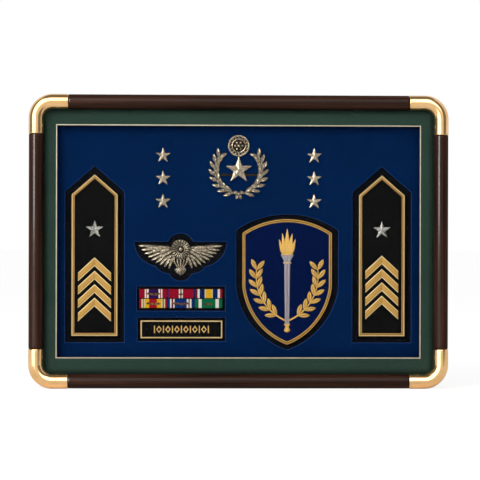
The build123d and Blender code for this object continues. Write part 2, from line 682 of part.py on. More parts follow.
def hanger_ring():
    """D-ring of round wire: a bar through the eye, two arms and a half-round bow."""
    bend, half = RING_BEND_RADIUS, RING_HALF
    path = (
        Line((0, 0), (half - bend, 0))
        + RadiusArc((half - bend, 0), (half, -bend), bend)
        + Line((half, -bend), (half, -RING_ARM))
        + ThreePointArc(
            (half, -RING_ARM), (half * cos(pi / 4), -RING_ARM - half * sin(pi / 4)),
            (0, -RING_ARM - half),
        )
    )
    side = sweep(Plane.YZ * Circle(RING_WIRE_RADIUS), path)
    ring = side + mirror(side, about=Plane.YZ)
    place = Plane(
        origin=(HANGER_X, FRONT_Y + RING_AXIS, HANGER_HEIGHT), x_dir=(1, 0, 0), z_dir=(0, -1, 0)
    )
    return place.location * ring


def bumper():
    """Self-adhesive rubber button."""
    disc = extrude(on_back(HANGER_X, BUMPER_RISE) * Circle(BUMPER_RADIUS), BUMPER_HEIGHT)
    return chamfer(disc.edges().sort_by(Axis.Y)[-1], BUMPER_HEIGHT / 3)


left_hanger_screws = [
    pan_screw(
        HANGER_X, HANGER_HEIGHT - drop, HANGER_SCREW_RADIUS, HANGER_SCREW_HEAD,
        HANGER_SCREW_HEAD_HEIGHT, FRAME_DEPTH + STRAP_THICKNESS, HANGER_SCREW_LENGTH,
    )
    for drop in HANGER_SCREW_DROPS
]
save("hanger_strap_left", hanger_strap())
save("hanger_strap_right", right_twin(hanger_strap()))
save("hanger_ring_left", hanger_ring())
save("hanger_ring_right", right_twin(hanger_ring()))
save("hanger_screws", *left_hanger_screws, *[right_twin(screw) for screw in left_hanger_screws])
save("wall_bumpers", bumper(), right_twin(bumper()))

# ---- Contents on the blue mat ------------------------------------------------------------------


def lens(length, width):
    """Leaf from the origin along +X, bounded by two arcs."""
    return make_face(
        ThreePointArc((0, 0), (length / 2, width / 2), (length, 0))
        + ThreePointArc((length, 0), (length / 2, -width / 2), (0, 0))
    )


def star_pin(x, z):
    star = faceted_star(x, z, RISER_BACK, PIN_STAR_RADIUS, PIN_STAR_PLATE, PIN_STAR_RISE)
    return with_posts(star, [(x, z)], RISER_BACK)


save("star_pins_left", *[star_pin(x, z) for x, z in STAR_PLACES if x < 0])
save("star_pins_right", *[star_pin(x, z) for x, z in STAR_PLACES if x > 0])


def wreath_badge():
    """Two laurel branches round a faceted star, under a beaded rosette."""
    start, end = radians(-84), radians(38)
    stem = Circle(WREATH_RADIUS + WREATH_STEM / 2) - Circle(WREATH_RADIUS - WREATH_STEM / 2)
    stem -= Pos(0, WREATH_RADIUS * 1.16) * Rectangle(4 * WREATH_RADIUS, WREATH_RADIUS)
    outline = stem + Pos(0, -WREATH_RADIUS) * Rectangle(WREATH_TIE_WIDTH, WREATH_TIE_HEIGHT)
    for index in range(WREATH_LEAVES):
        angle = start + (end - start) * (index + 0.6) / WREATH_LEAVES
        root = (WREATH_RADIUS * cos(angle), WREATH_RADIUS * sin(angle))
        for lean in (-32, 32):
            leaf = Pos(*root) * Rot(0, 0, degrees(angle) + 90 + lean)
            leaf = leaf * lens(WREATH_LEAF_LENGTH, WREATH_LEAF_WIDTH)
            outline += leaf + mirror(leaf, about=Plane.YZ)
    badge = raised(Pos(0, WREATH_Z) * outline, RISER_BACK, WREATH_THICKNESS)
    beam = Pos(0, WREATH_Z + WREATH_STAR_RADIUS / 2) * Rectangle(WREATH_STRUT, 2 * WREATH_RADIUS)
    badge += raised(beam, RISER_BACK, PIN_STAR_PLATE)
    strut = Pos(0, WREATH_Z - WREATH_STAR_RADIUS / 3) * Rectangle(2 * WREATH_RADIUS, WREATH_STRUT)
    badge += raised(strut, RISER_BACK, PIN_STAR_PLATE)
    badge += faceted_star(
        0, WREATH_Z, RISER_BACK, WREATH_STAR_RADIUS, WREATH_THICKNESS, WREATH_STAR_RISE
    )
    rosette = Pos(0, ROSETTE_Z) * Circle(ROSETTE_RADIUS)
    badge += raised(rosette, RISER_BACK, ROSETTE_THICKNESS, taper=20)
    return with_posts(badge, [(0, ROSETTE_Z), (0, WREATH_Z)], RISER_BACK)


save("wreath_badge", wreath_badge())

# ---- Contents on the backing card --------------------------------------------------------------


def winged_badge():
    """Pair of feathered wings behind a domed roundel with a small fan below. The points of a wing are
    shares of its own span."""
    span = WING_SPAN / 2

    def at(out, down):
        return (-out * span, WING_TOP - down * span)

    tips = ThreePointArc(at(1, 0), at(0.72, 0.322), at(0.278, 0.544))
    roots = ThreePointArc(at(0.6, 0), at(0.422, 0.178), at(0.178, 0.367))
    wing = Pos(*at(0.42, 0.05)) * Rectangle(span * 0.42, span * 0.1)
    wing += Pos(*at(0.33, 0.133)) * Circle(span * 0.133)
    for index in range(FEATHERS):
        share = index / (FEATHERS - 1)
        tip, root = tips @ share, roots @ share
        along = tip - root
        turn = degrees(atan2(along.Y, along.X))
        feather = lens(along.length, FEATHER_WIDTH) + Pos(along.length / 3, 0) * Rectangle(
            along.length * 2 / 3, FEATHER_WIDTH * 0.8
        )
        wing += Pos(root.X, root.Y) * Rot(0, 0, turn) * feather
    wing += make_face(Polyline(at(0, 0.09), at(0.49, 0.09), at(0.178, 0.444), at(0, 0.444), close=True))
    both = wing + mirror(wing, about=Plane.YZ)
    badge = raised(Pos(WINGED_X, 0) * both, INNER_MAT_BACK, WING_THICKNESS)
    fan = Pos(WINGED_X, WING_TOP - 0.578 * span) * Circle(0.138 * span)
    badge += raised(fan, INNER_MAT_BACK, WING_THICKNESS)
    dome = Pos(WINGED_X, ROUNDEL_Z) * Circle(ROUNDEL_RADIUS)
    badge += raised(dome, INNER_MAT_BACK, ROUNDEL_RISE, taper=25)
    return with_posts(badge, CARD_POSTS[:2], INNER_MAT_BACK)


def cushioned(sketch, seat, thickness, rounding):
    """Plate with its front edges rounded."""
    plate = raised(sketch, seat, thickness)
    return fillet(plate.faces().sort_by(Axis.Y)[0].edges(), rounding)


save("winged_badge", winged_badge())

rack = raised(
    Pos(RACK_X, RACK_Z) * Rectangle(RACK_WIDTH, RACK_HEIGHT), INNER_MAT_BACK, RACK_THICKNESS
)
save("ribbon_rack", with_posts(rack, CARD_POSTS[2:4], INNER_MAT_BACK))
for row in range(RIBBON_ROWS):
    for column in range(RIBBON_COLUMNS):
        ribbon_x = RACK_X + (column - (RIBBON_COLUMNS - 1) / 2) * (RIBBON_WIDTH + RIBBON_GAP)
        ribbon_z = RIBBON_TOP - RIBBON_HEIGHT / 2 - row * (RIBBON_HEIGHT + RIBBON_ROW_GAP)
        ribbon = cushioned(
            Pos(ribbon_x, ribbon_z) * Rectangle(RIBBON_WIDTH, RIBBON_HEIGHT),
            INNER_MAT_BACK - RACK_THICKNESS, RIBBON_THICKNESS, RIBBON_THICKNESS / 3,
        )
        save(f"ribbon_{row * RIBBON_COLUMNS + column + 1}", ribbon)

plate_outline = Pos(PLATE_X, PLATE_Z) * Rectangle(PLATE_WIDTH, PLATE_HEIGHT)
plate_inner = Pos(PLATE_X, PLATE_Z) * Rectangle(
    PLATE_WIDTH - 2 * PLATE_BORDER, PLATE_HEIGHT - 2 * PLATE_BORDER
)
name_plate = raised(plate_outline, INNER_MAT_BACK, PLATE_THICKNESS)
save("name_plate", with_posts(name_plate, CARD_POSTS[4:], INNER_MAT_BACK))
plate_front = INNER_MAT_BACK - PLATE_THICKNESS
save("name_plate_border", raised(plate_outline - plate_inner, plate_front, PLATE_BORDER_RISE))

# ---- Shield patch ------------------------------------------------------------------------------

shield_front = INNER_MAT_BACK - SHIELD_THICKNESS
shield = Pos(SHIELD_X, 0) * shield_outline(0)
shield_field = Pos(SHIELD_X, 0) * shield_outline(-SHIELD_BORDER)
save("shield_patch", raised(shield, INNER_MAT_BACK, SHIELD_THICKNESS))
save("shield_border", raised(shield - shield_field, shield_front, SHIELD_BORDER_RISE))


def torch_and_sprays():
    """Upright torch between two curved leaf sprays."""
    torch = make_face(
        Polyline(
            (-TORCH_HALF_WIDTH * 0.45, TORCH_FOOT), (TORCH_HALF_WIDTH * 0.45, TORCH_FOOT),
            (TORCH_HALF_WIDTH, TORCH_BOWL - 6), (TORCH_HALF_WIDTH * 2.2, TORCH_BOWL),
            (-TORCH_HALF_WIDTH * 2.2, TORCH_BOWL), (-TORCH_HALF_WIDTH, TORCH_BOWL - 6), close=True,
        )
    )
    flame = make_face(
        ThreePointArc((0, TORCH_BOWL), (TORCH_HALF_WIDTH * 2, TORCH_BOWL + 9), (0, TORCH_TOP))
        + ThreePointArc((0, TORCH_TOP), (-TORCH_HALF_WIDTH * 2, TORCH_BOWL + 9), (0, TORCH_BOWL))
    )
    foot = (0, TORCH_FOOT + TORCH_LENGTH * 0.145)
    belly = (SPRAY_HALF_WIDTH * 0.712, foot[1] + TORCH_LENGTH * 0.265)
    shoulder = (SPRAY_HALF_WIDTH * 0.89, TORCH_BOWL - TORCH_LENGTH * 0.169)
    stem = ThreePointArc(foot, belly, shoulder)
    inner_foot = (0, foot[1] + SPRAY_STEM)
    inner_shoulder = (shoulder[0] - SPRAY_STEM, shoulder[1])
    inner_belly = (belly[0] - SPRAY_STEM, belly[1] + SPRAY_STEM / 2)
    spray = make_face(
        stem
        + Line(shoulder, inner_shoulder)
        + ThreePointArc(inner_shoulder, inner_belly, inner_foot)
        + Line(inner_foot, foot)
    )
    for index in range(SPRAY_LEAVES):
        share = (index + 1.4) / (SPRAY_LEAVES + 0.6)
        root, heading = stem @ share, stem % share
        turn = degrees(atan2(heading.Y, heading.X))
        for lean in (-34, 34):
            spray += Pos(root.X, root.Y) * Rot(0, 0, turn + lean) * lens(
                SPRAY_LEAF_LENGTH, SPRAY_LEAF_WIDTH
            )
    return torch + flame + spray + mirror(spray, about=Plane.YZ)


save("shield_charge", raised(Pos(SHIELD_X, 0) * torch_and_sprays(), shield_front, SHIELD_CHARGE_RISE))

# ---- Shoulder boards ---------------------------------------------------------------------------


def chevron(top):
    """One bent band, apex upwards."""
    foot = top - CHEVRON_DROP
    return make_face(
        Polyline(
            (0, top), (CHEVRON_HALF_WIDTH, foot), (CHEVRON_HALF_WIDTH, foot - CHEVRON_BAND),
            (0, top - CHEVRON_BAND), (-CHEVRON_HALF_WIDTH, foot - CHEVRON_BAND),
            (-CHEVRON_HALF_WIDTH, foot), close=True,
        )
    )


board_front = INNER_MAT_BACK - BOARD_THICKNESS
for side, board_x in (("left", -BOARD_X), ("right", BOARD_X)):
    at = Pos(board_x, 0)
    board = cushioned(
        at * board_outline(BOARD_MARGIN), INNER_MAT_BACK, BOARD_THICKNESS, BOARD_MARGIN * 0.6
    )
    save(f"shoulder_board_{side}", board)
    braid = board_outline(0) - board_outline(-BRAID_WIDTH)
    save(f"board_braid_{side}", raised(at * braid, board_front, BRAID_THICKNESS))
    bands = [
        raised(at * chevron(CHEVRON_TOP - row * CHEVRON_PITCH), board_front, CHEVRON_THICKNESS)
        for row in range(CHEVRON_COUNT)
    ]
    save(f"chevrons_{side}", *bands)
    star = faceted_star(
        board_x, BOARD_STAR_Z, board_front, BOARD_STAR_RADIUS, PIN_STAR_PLATE, BOARD_STAR_RISE
    )
    save(f"board_star_{side}", star)
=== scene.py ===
"""Looks of the badge display case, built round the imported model: metres, +X right, +Y back, +Z up."""

import math

import bmesh
import bpy
from mathutils import Euler, Matrix, Vector


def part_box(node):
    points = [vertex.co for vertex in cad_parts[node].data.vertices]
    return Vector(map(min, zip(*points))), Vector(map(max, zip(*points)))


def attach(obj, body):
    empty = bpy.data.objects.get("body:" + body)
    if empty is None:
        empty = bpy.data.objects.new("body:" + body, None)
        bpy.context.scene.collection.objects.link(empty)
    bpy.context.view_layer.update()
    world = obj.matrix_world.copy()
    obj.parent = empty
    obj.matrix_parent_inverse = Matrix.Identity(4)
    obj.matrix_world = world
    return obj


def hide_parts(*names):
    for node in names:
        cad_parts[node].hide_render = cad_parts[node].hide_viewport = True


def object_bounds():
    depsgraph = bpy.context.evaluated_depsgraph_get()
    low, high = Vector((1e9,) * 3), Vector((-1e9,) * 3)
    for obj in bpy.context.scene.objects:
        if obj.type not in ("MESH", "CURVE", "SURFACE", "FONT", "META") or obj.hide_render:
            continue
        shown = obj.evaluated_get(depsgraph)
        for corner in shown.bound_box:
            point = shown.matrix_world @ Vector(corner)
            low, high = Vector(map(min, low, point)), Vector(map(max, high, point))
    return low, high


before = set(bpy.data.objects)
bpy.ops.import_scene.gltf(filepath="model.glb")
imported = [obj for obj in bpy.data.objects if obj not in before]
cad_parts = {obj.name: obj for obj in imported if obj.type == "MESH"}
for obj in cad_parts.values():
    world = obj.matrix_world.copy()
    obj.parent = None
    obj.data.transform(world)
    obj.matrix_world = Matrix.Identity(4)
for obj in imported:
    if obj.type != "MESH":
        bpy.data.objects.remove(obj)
model_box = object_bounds()

# ---- Studio --------------------------------------------------------------------------------------
# The case stands on a white floor in front of a white backdrop, under one large soft box at the upper
# left. The camera stands a little to the left of the middle, level with the case.

MM = 0.001
CASE_LOW, CASE_HIGH = model_box
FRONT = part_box("corner_cap_bottom_left")[0].y
MIDDLE = CASE_HIGH.z / 2

CAMERA_DISTANCE = 2.2
CAMERA_TURN = math.radians(-1.82)
CAMERA_ROLL = math.radians(0.144)
CAMERA_LENS = 156.0
AIM = Vector((0.8 * MM, FRONT, MIDDLE + 1.8 * MM))


def srgb(red, green, blue):
    """Linear colour with alpha, from the values a colour chart gives."""
    parts = [part / 255 for part in (red, green, blue)]
    return (*[part / 12.92 if part <= 0.04045 else ((part + 0.055) / 1.055) ** 2.4 for part in parts], 1)


def feed(tree, node, inputs):
    """Gives each input of a node a value, or a link from another node's socket."""
    for key, value in inputs.items():
        if isinstance(value, bpy.types.NodeSocket):
            tree.links.new(value, node.inputs[key])
        else:
            node.inputs[key].default_value = value
    return node


def add(tree, kind, inputs=None, **settings):
    """Adds a node with its settings and its inputs."""
    node = tree.nodes.new(kind)
    for key, value in settings.items():
        setattr(node, key, value)
    return feed(tree, node, inputs or {})


def maths(tree, operation, first, second=0.0):
    """A Math node's result."""
    return add(tree, "ShaderNodeMath", {0: first, 1: second}, operation=operation).outputs[0]


def object_place(tree):
    """Object coordinates, which are places on the case."""
    return add(tree, "ShaderNodeTexCoord").outputs["Object"]


def between(tree, value, low, high, soft):
    """Mask that is 1 where the value lies between low and high, with soft edges."""
    rise = add(tree, "ShaderNodeMapRange", {0: value, 1: low - soft, 2: low + soft})
    fall = add(tree, "ShaderNodeMapRange", {0: value, 1: high - soft, 2: high + soft})
    rise.interpolation_type = fall.interpolation_type = "SMOOTHSTEP"
    return maths(tree, "MULTIPLY", rise.outputs[0], maths(tree, "SUBTRACT", 1.0, fall.outputs[0]))


camera = bpy.data.objects.new("camera", bpy.data.cameras.new("camera"))
bpy.context.scene.collection.objects.link(camera)
bpy.context.scene.camera = camera
camera.data.lens = CAMERA_LENS
camera.data.sensor_width = 36.0
camera.data.clip_start = 0.05
camera.location = AIM + CAMERA_DISTANCE * Vector((math.sin(CAMERA_TURN), -math.cos(CAMERA_TURN), 0))
camera.rotation_euler = (
    (AIM - camera.location).to_track_quat("-Z", "Y") @ Euler((0, 0, CAMERA_ROLL)).to_quaternion()
).to_euler()
bpy.context.scene.view_settings.view_transform = "Standard"

# Brightness of the room on matt surfaces, in polished ones, and in the bright and dark parts that polished
# ones show. Edges of those parts are in degrees from straight in front of the case.
ROOM_LEVEL = 0.72
GLOSS_LEVEL = 0.85
PANEL_LEVEL = 3.6
DARK_LEVEL = 0.2
WINDOW = (-56, -11, -14, 52)
OVERHEAD = (-20, 28, 12, 52)
DARK_LEFT = (-104, -66)
DARK_RIGHT = (30, 76)
DARK_CEILING = (60, 95)
BRIGHT_SOFTNESS = 0.07
DARK_SOFTNESS = 0.08

world = bpy.data.worlds.new("studio")
bpy.context.scene.world = world
world.use_nodes = True
sky = world.node_tree
sky.nodes.clear()
towards = add(sky, "ShaderNodeSeparateXYZ", {0: add(sky, "ShaderNodeTexCoord").outputs["Generated"]})
side = maths(sky, "ARCTAN2", towards.outputs["X"], maths(sky, "MULTIPLY", towards.outputs["Y"], -1.0))
rise = maths(sky, "ARCSINE", towards.outputs["Z"])


def zone(value, low, high, soft):
    """Mask of a part of the room between two edges in degrees."""
    return between(sky, value, math.radians(low), math.radians(high), soft)


def patch(left, right, low, high):
    """Mask of one bright patch of the room."""
    across = zone(side, left, right, BRIGHT_SOFTNESS)
    return maths(sky, "MULTIPLY", across, zone(rise, low, high, BRIGHT_SOFTNESS))


panel = maths(sky, "MAXIMUM", patch(*WINDOW), patch(*OVERHEAD))
dark_left = zone(side, *DARK_LEFT, DARK_SOFTNESS)
dark_right = zone(side, *DARK_RIGHT, 2 * DARK_SOFTNESS)
ceiling = zone(rise, *DARK_CEILING, DARK_SOFTNESS)
dark = maths(sky, "MAXIMUM", maths(sky, "MAXIMUM", dark_left, dark_right), ceiling)
level = maths(sky, "SUBTRACT", GLOSS_LEVEL, maths(sky, "MULTIPLY", dark, GLOSS_LEVEL - DARK_LEVEL))
level = maths(sky, "ADD", level, maths(sky, "MULTIPLY", panel, PANEL_LEVEL - GLOSS_LEVEL))
path = add(sky, "ShaderNodeLightPath")
glossy = add(sky, "ShaderNodeMix", {"Factor": path.outputs["Is Glossy Ray"], "A": ROOM_LEVEL, "B": level})
seen = maths(sky, "MAXIMUM", path.outputs["Is Camera Ray"], path.outputs["Is Transmission Ray"])
shown = add(sky, "ShaderNodeMix", {"Factor": seen, "A": glossy.outputs[0], "B": 1.0})
background = add(sky, "ShaderNodeBackground", {"Color": shown.outputs[0]})
add(sky, "ShaderNodeOutputWorld", {"Surface": background.outputs[0]})

SOFT_BOX_SIZE = 1.5
SOFT_BOX_POWER = 45.5
SOFT_BOX_PLACE = (-1.25, -1.75, 1.2)


def area_lamp(name, width, height, power, place):
    """A rectangular lamp turned towards the middle of the case."""
    data = bpy.data.lights.new(name, "AREA")
    data.shape = "RECTANGLE"
    data.size = width
    data.size_y = height
    data.energy = power
    lamp = bpy.data.objects.new(name, data)
    bpy.context.scene.collection.objects.link(lamp)
    lamp.location = place
    lamp.rotation_euler = (Vector((0, 0, MIDDLE)) - lamp.location).to_track_quat("-Z", "Y").to_euler()
    return lamp


soft_box = area_lamp("soft_box", SOFT_BOX_SIZE, SOFT_BOX_SIZE, SOFT_BOX_POWER, SOFT_BOX_PLACE)
soft_box.visible_glossy = False

# To the camera the floor is a pale glow with a faint shadow on it, and to everything else it is matt white.
# Polished parts see past its front edge, as past the edge of a table.
FLOOR_SIZE = 30.0
FLOOR_GREY = 0.8
FLOOR_GLOW = 0.80
FLOOR_SHADOW = 0.25
TABLE_END = 0.32


def grey(level):
    """A grey with alpha, from its linear level."""
    return level, level, level, 1


floor_mesh = bpy.data.meshes.new("floor")
floor_mesh.from_pydata(
    [(x * FLOOR_SIZE, y * FLOOR_SIZE, 0) for x, y in ((-1, -1), (1, -1), (1, 1), (-1, 1))],
    [], [(0, 1, 2, 3)],
)
floor = bpy.data.objects.new("floor", floor_mesh)
bpy.context.scene.collection.objects.link(floor)
floor_paint = bpy.data.materials.new("white_floor")
floor_paint.use_nodes = True
paint = floor_paint.node_tree
paint.nodes.clear()
at = add(paint, "ShaderNodeSeparateXYZ", {0: object_place(paint)})
matt = add(paint, "ShaderNodeBsdfDiffuse", {"Color": grey(FLOOR_GREY)})
thin = add(paint, "ShaderNodeBsdfDiffuse", {"Color": grey(FLOOR_SHADOW)})
glow = add(paint, "ShaderNodeEmission", {"Strength": FLOOR_GLOW})
pale = add(paint, "ShaderNodeAddShader", {0: thin.outputs[0], 1: glow.outputs[0]})
ray = add(paint, "ShaderNodeLightPath")
beyond = maths(paint, "LESS_THAN", at.outputs["Y"], -TABLE_END)
open_air = maths(paint, "MULTIPLY", beyond, ray.outputs["Is Glossy Ray"])
clear = add(paint, "ShaderNodeBsdfTransparent")
table = add(paint, "ShaderNodeMixShader", {0: open_air, 1: matt.outputs[0], 2: clear.outputs[0]})
mixed = add(paint, "ShaderNodeMixShader", {
    0: ray.outputs["Is Camera Ray"], 1: table.outputs[0], 2: pale.outputs[0],
})
add(paint, "ShaderNodeOutputMaterial", {"Surface": mixed.outputs[0]})
floor_mesh.materials.append(floor_paint)

# ---- Walnut rails --------------------------------------------------------------------------------
# Four lengths of half-round walnut moulding with a rebate for the glass and the layers behind it. Each
# end is reduced to a spigot that runs inside the brass corner, and the shoulder is eased by hand.

FACE = 16 * MM
NOSE = FACE / 2
LIP = 12 * MM
WALL = 11 * MM
BRASS_WALL = 1.5 * MM
PROUD = 0.3 * MM
ARM = 42 * MM
SPIGOT = 10 * MM
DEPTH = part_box("rail_top")[1].y - FRONT
NOSE_STEPS = 40


def half_round(radius):
    """The nose of the moulding, as (across, back) pairs from the outside to the sight edge."""
    angles = [math.pi * step / NOSE_STEPS for step in range(NOSE_STEPS + 1)]
    return [(NOSE - radius * math.cos(angle), NOSE - radius * math.sin(angle)) for angle in angles]


def wood_section(inset):
    """Closed outline of the moulding, drawn in all round by inset: nose, sight edge, rebate and back."""
    return half_round(NOSE - inset) + [(FACE - inset, LIP), (WALL, LIP), (WALL, DEPTH), (inset, DEPTH)]


def swept(frames, sections, ring=False):
    """Skins a closed section along a path. A frame is a point on the path's edge and the direction across
    it; a section point is (across, back). The UV map runs along the path and round the section."""
    shape = bmesh.new()
    uv = shape.loops.layers.uv.new("along")
    rows = []
    runs = [0.0]
    for (point, across), outline in zip(frames, sections):
        rows.append([shape.verts.new(point + across * a + Vector((0, b, 0))) for a, b in outline])
    if ring:
        rows.append(rows[0])
    for before, after in zip(rows, rows[1:]):
        middle = len(before) // 4
        runs.append(runs[-1] + (after[middle].co - before[middle].co).length)
    count = len(rows[0])
    rounds = [0.0]
    for index in range(count):
        rounds.append(rounds[-1] + (rows[0][(index + 1) % count].co - rows[0][index].co).length)
    for row, (before, after) in enumerate(zip(rows, rows[1:])):
        for index in range(count):
            step = (index + 1) % count
            face = shape.faces.new((before[index], before[step], after[step], after[index]))
            places = ((row, index), (row, index + 1), (row + 1, index + 1), (row + 1, index))
            for loop, (along, about) in zip(face.loops, places):
                loop[uv].uv = (runs[along], rounds[about])
    if not ring:
        shape.faces.new(rows[0])
        shape.faces.new(reversed(rows[-1]))
    bmesh.ops.recalc_face_normals(shape, faces=shape.faces)
    return shape


def add_piece(name, shape, finishes, nodes, body="case", smooth=35):
    """Makes a finished piece of a bmesh or a mesh: it stands for its nodes and rides on its body. Edges
    that turn by more than smooth degrees stay sharp."""
    mesh = shape
    if isinstance(shape, bmesh.types.BMesh):
        mesh = bpy.data.meshes.new(name)
        shape.to_mesh(mesh)
        shape.free()
    for finish in finishes:
        mesh.materials.append(finish)
    mesh.shade_smooth()
    mesh.set_sharp_from_angle(angle=math.radians(smooth))
    piece = bpy.data.objects.new(name, mesh)
    bpy.context.scene.collection.objects.link(piece)
    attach(piece, body)
    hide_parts(*nodes)
    return piece


def new_material(name, **constants):
    """A Principled material with its plain values set on the shader itself."""
    material = bpy.data.materials.new(name)
    material.use_nodes = True
    shader = material.node_tree.nodes["Principled BSDF"]
    for key, value in constants.items():
        shader.inputs[key.replace("_", " ")].default_value = value
    return material, material.node_tree, shader


def new_group(name, inputs, outputs):
    """An empty shader group: its tree, the sockets of its inputs, and its output node."""
    tree = bpy.data.node_groups.new(name, "ShaderNodeTree")
    for key, kind, value in inputs:
        tree.interface.new_socket(key, in_out="INPUT", socket_type=kind).default_value = value
    for key, kind in outputs:
        tree.interface.new_socket(key, in_out="OUTPUT", socket_type=kind)
    return tree, tree.nodes.new("NodeGroupInput").outputs, tree.nodes.new("NodeGroupOutput")


def use_group(tree, group, inputs):
    """Places a group in a material with its own values."""
    return add(tree, "ShaderNodeGroup", inputs, node_tree=group).outputs


def blend_colour(tree, factor, first, second, blend_type="MIX"):
    """A colour mix's result."""
    inputs = {0: factor, 6: first, 7: second}
    return add(tree, "ShaderNodeMix", inputs, data_type="RGBA", blend_type=blend_type).outputs[2]


def rescale(tree, value, low, high, start=0.0, end=1.0):
    """Runs from start to end while the value runs from low to high."""
    return add(tree, "ShaderNodeMapRange", {0: value, 1: low, 2: high, 3: start, 4: end}).outputs[0]


def noise(tree, place, scale, detail, distortion=0.0):
    """A cloudy pattern between 0 and 1."""
    inputs = {"Vector": place, "Scale": scale, "Detail": detail, "Distortion": distortion}
    return add(tree, "ShaderNodeTexNoise", inputs).outputs["Fac"]


def bump(tree, height, strength, distance):
    """A Bump node's normal."""
    inputs = {"Height": height, "Strength": strength, "Distance": distance}
    return add(tree, "ShaderNodeBump", inputs).outputs[0]


FLOAT, VECTOR = "NodeSocketFloat", "NodeSocketVector"


def grain_group():
    """Wood grain along the first coordinate: broad bands, fine streaks and short dark pores."""
    tree, given, out = new_group(
        "wood_grain", [("Vector", VECTOR, (0, 0, 0))],
        [("Bands", FLOAT), ("Streaks", FLOAT), ("Pores", FLOAT)],
    )
    fields = []
    for along, across, detail in ((3.0, 150.0, 2.0), (9.0, 900.0, 3.0), (60.0, 2600.0, 1.0)):
        spread = add(tree, "ShaderNodeCombineXYZ", {0: along, 1: across, 2: across}).outputs[0]
        place = add(tree, "ShaderNodeVectorMath", {0: given["Vector"], 1: spread}, operation="MULTIPLY")
        fields.append(noise(tree, place.outputs[0], 1.0, detail))
    bands, streaks, pores = fields
    feed(tree, out, {"Bands": bands, "Streaks": streaks, "Pores": rescale(tree, pores, 0.60, 0.70)})
    return tree


GRAIN = grain_group()
WALNUT_DARK = srgb(24, 12, 6)
WALNUT = srgb(47, 26, 17)
WALNUT_RED = srgb(68, 40, 28)


def walnut(name, uv):
    """Dark walnut under a satin lacquer. Its grain runs along the UV map of a rail, or else along X."""
    material, tree, shader = new_material(
        name, Roughness=0.5, Specular_IOR_Level=0.02, Coat_Weight=0.13, Coat_Roughness=0.11, Coat_IOR=1.5
    )
    vector = add(tree, "ShaderNodeUVMap", uv_map="along").outputs[0] if uv else object_place(tree)
    grain = use_group(tree, GRAIN, {"Vector": vector})
    colour = blend_colour(tree, rescale(tree, grain["Bands"], 0.38, 0.62), WALNUT, WALNUT_RED)
    colour = blend_colour(tree, rescale(tree, grain["Streaks"], 0.32, 0.68), WALNUT_DARK, colour)
    colour = blend_colour(tree, maths(tree, "MULTIPLY", grain["Pores"], 0.6), colour, WALNUT_DARK)
    height = maths(tree, "SUBTRACT", maths(tree, "MULTIPLY", grain["Streaks"], 0.4), grain["Pores"])
    feed(tree, shader, {"Base Color": colour, "Normal": bump(tree, height, 0.25, 0.05 * MM)})
    return material


WALNUT_RAIL = walnut("walnut_rail", uv=True)
WALNUT_BLOCK = walnut("walnut_block", uv=False)
# Black stain on the rebate and sight edge, which also serves as painted shade under the lip.
LIP_STAIN_AND_SHADE, tree, shader = new_material("black_stain_and_painted_shade_lip", Roughness=0.8, Specular_IOR_Level=0.05)
lip_grain = use_group(tree, GRAIN, {"Vector": add(tree, "ShaderNodeUVMap", uv_map="along").outputs[0]})
tone = blend_colour(tree, lip_grain["Streaks"], srgb(14, 10, 8), srgb(24, 17, 13))
feed(tree, shader, {"Base Color": tone})

EASE = 1.3 * MM
EASE_DEPTH = 0.8 * MM
STAIN_AND_SHADE_FROM = 15.0 * MM


def rail_shape(start, along, across, length):
    """A rail between two brass corners, from a corner of the case in the direction along. Its sight edge is
    stained black, and the black also stands as painted shade under the lip."""
    stops = [
        (ARM - SPIGOT, BRASS_WALL), (ARM, BRASS_WALL), (ARM, PROUD + EASE_DEPTH),
        (ARM + 0.4 * EASE, PROUD + 0.4 * EASE_DEPTH), (ARM + EASE, PROUD), (ARM + 2 * EASE, PROUD),
    ]
    stops += [(length - offset, inset) for offset, inset in reversed(stops)]
    frames = [(start + along * offset, across) for offset, _ in stops]
    rail = swept(frames, [wood_section(inset) for _, inset in stops])
    for face in rail.faces:
        if (face.calc_center_median() - start).dot(across) > STAIN_AND_SHADE_FROM:
            face.material_index = 1
    return rail


RIGHT, UP = Vector((1, 0, 0)), Vector((0, 0, 1))
CORNERS = {
    "bottom_left": Vector((CASE_LOW.x, FRONT, CASE_LOW.z)),
    "bottom_right": Vector((CASE_HIGH.x, FRONT, CASE_LOW.z)),
    "top_left": Vector((CASE_LOW.x, FRONT, CASE_HIGH.z)),
    "top_right": Vector((CASE_HIGH.x, FRONT, CASE_HIGH.z)),
}
CASE_WIDTH = CASE_HIGH.x - CASE_LOW.x
CASE_HEIGHT = CASE_HIGH.z - CASE_LOW.z
lit_rails = bpy.data.collections.new("lit_rails")
for name, corner, along, across, length in (
    ("bottom", "bottom_left", RIGHT, UP, CASE_WIDTH),
    ("top", "top_left", RIGHT, -UP, CASE_WIDTH),
    ("left", "bottom_left", UP, RIGHT, CASE_HEIGHT),
    ("right", "bottom_right", UP, -RIGHT, CASE_HEIGHT),
):
    rail = rail_shape(CORNERS[corner], along, across, length)
    piece = add_piece(f"walnut_rail_{name}", rail, [WALNUT_RAIL, LIP_STAIN_AND_SHADE], [f"rail_{name}"])
    lit_rails.objects.link(piece)

# A second lamp draws the bright stripe along the rails' lacquer, and lights nothing else.
RAIL_LAMP_WIDTH = 0.85
RAIL_LAMP_HEIGHT = 1.7
RAIL_LAMP_POWER = 260.0
RAIL_LAMP_PLACE = (-1.25, -1.9, 0.98)

rail_lamp = area_lamp("rail_lamp", RAIL_LAMP_WIDTH, RAIL_LAMP_HEIGHT, RAIL_LAMP_POWER, RAIL_LAMP_PLACE)
rail_lamp.visible_diffuse = False
rail_lamp.light_linking.receiver_collection = lit_rails


def refinish(material, *nodes):
    """Gives carried-over nodes a finish of their own."""
    for name in nodes:
        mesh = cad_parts[name].data
        mesh.materials.clear()
        mesh.materials.append(material)


refinish(WALNUT_BLOCK, *[f"corner_block_{name}" for name in CORNERS])

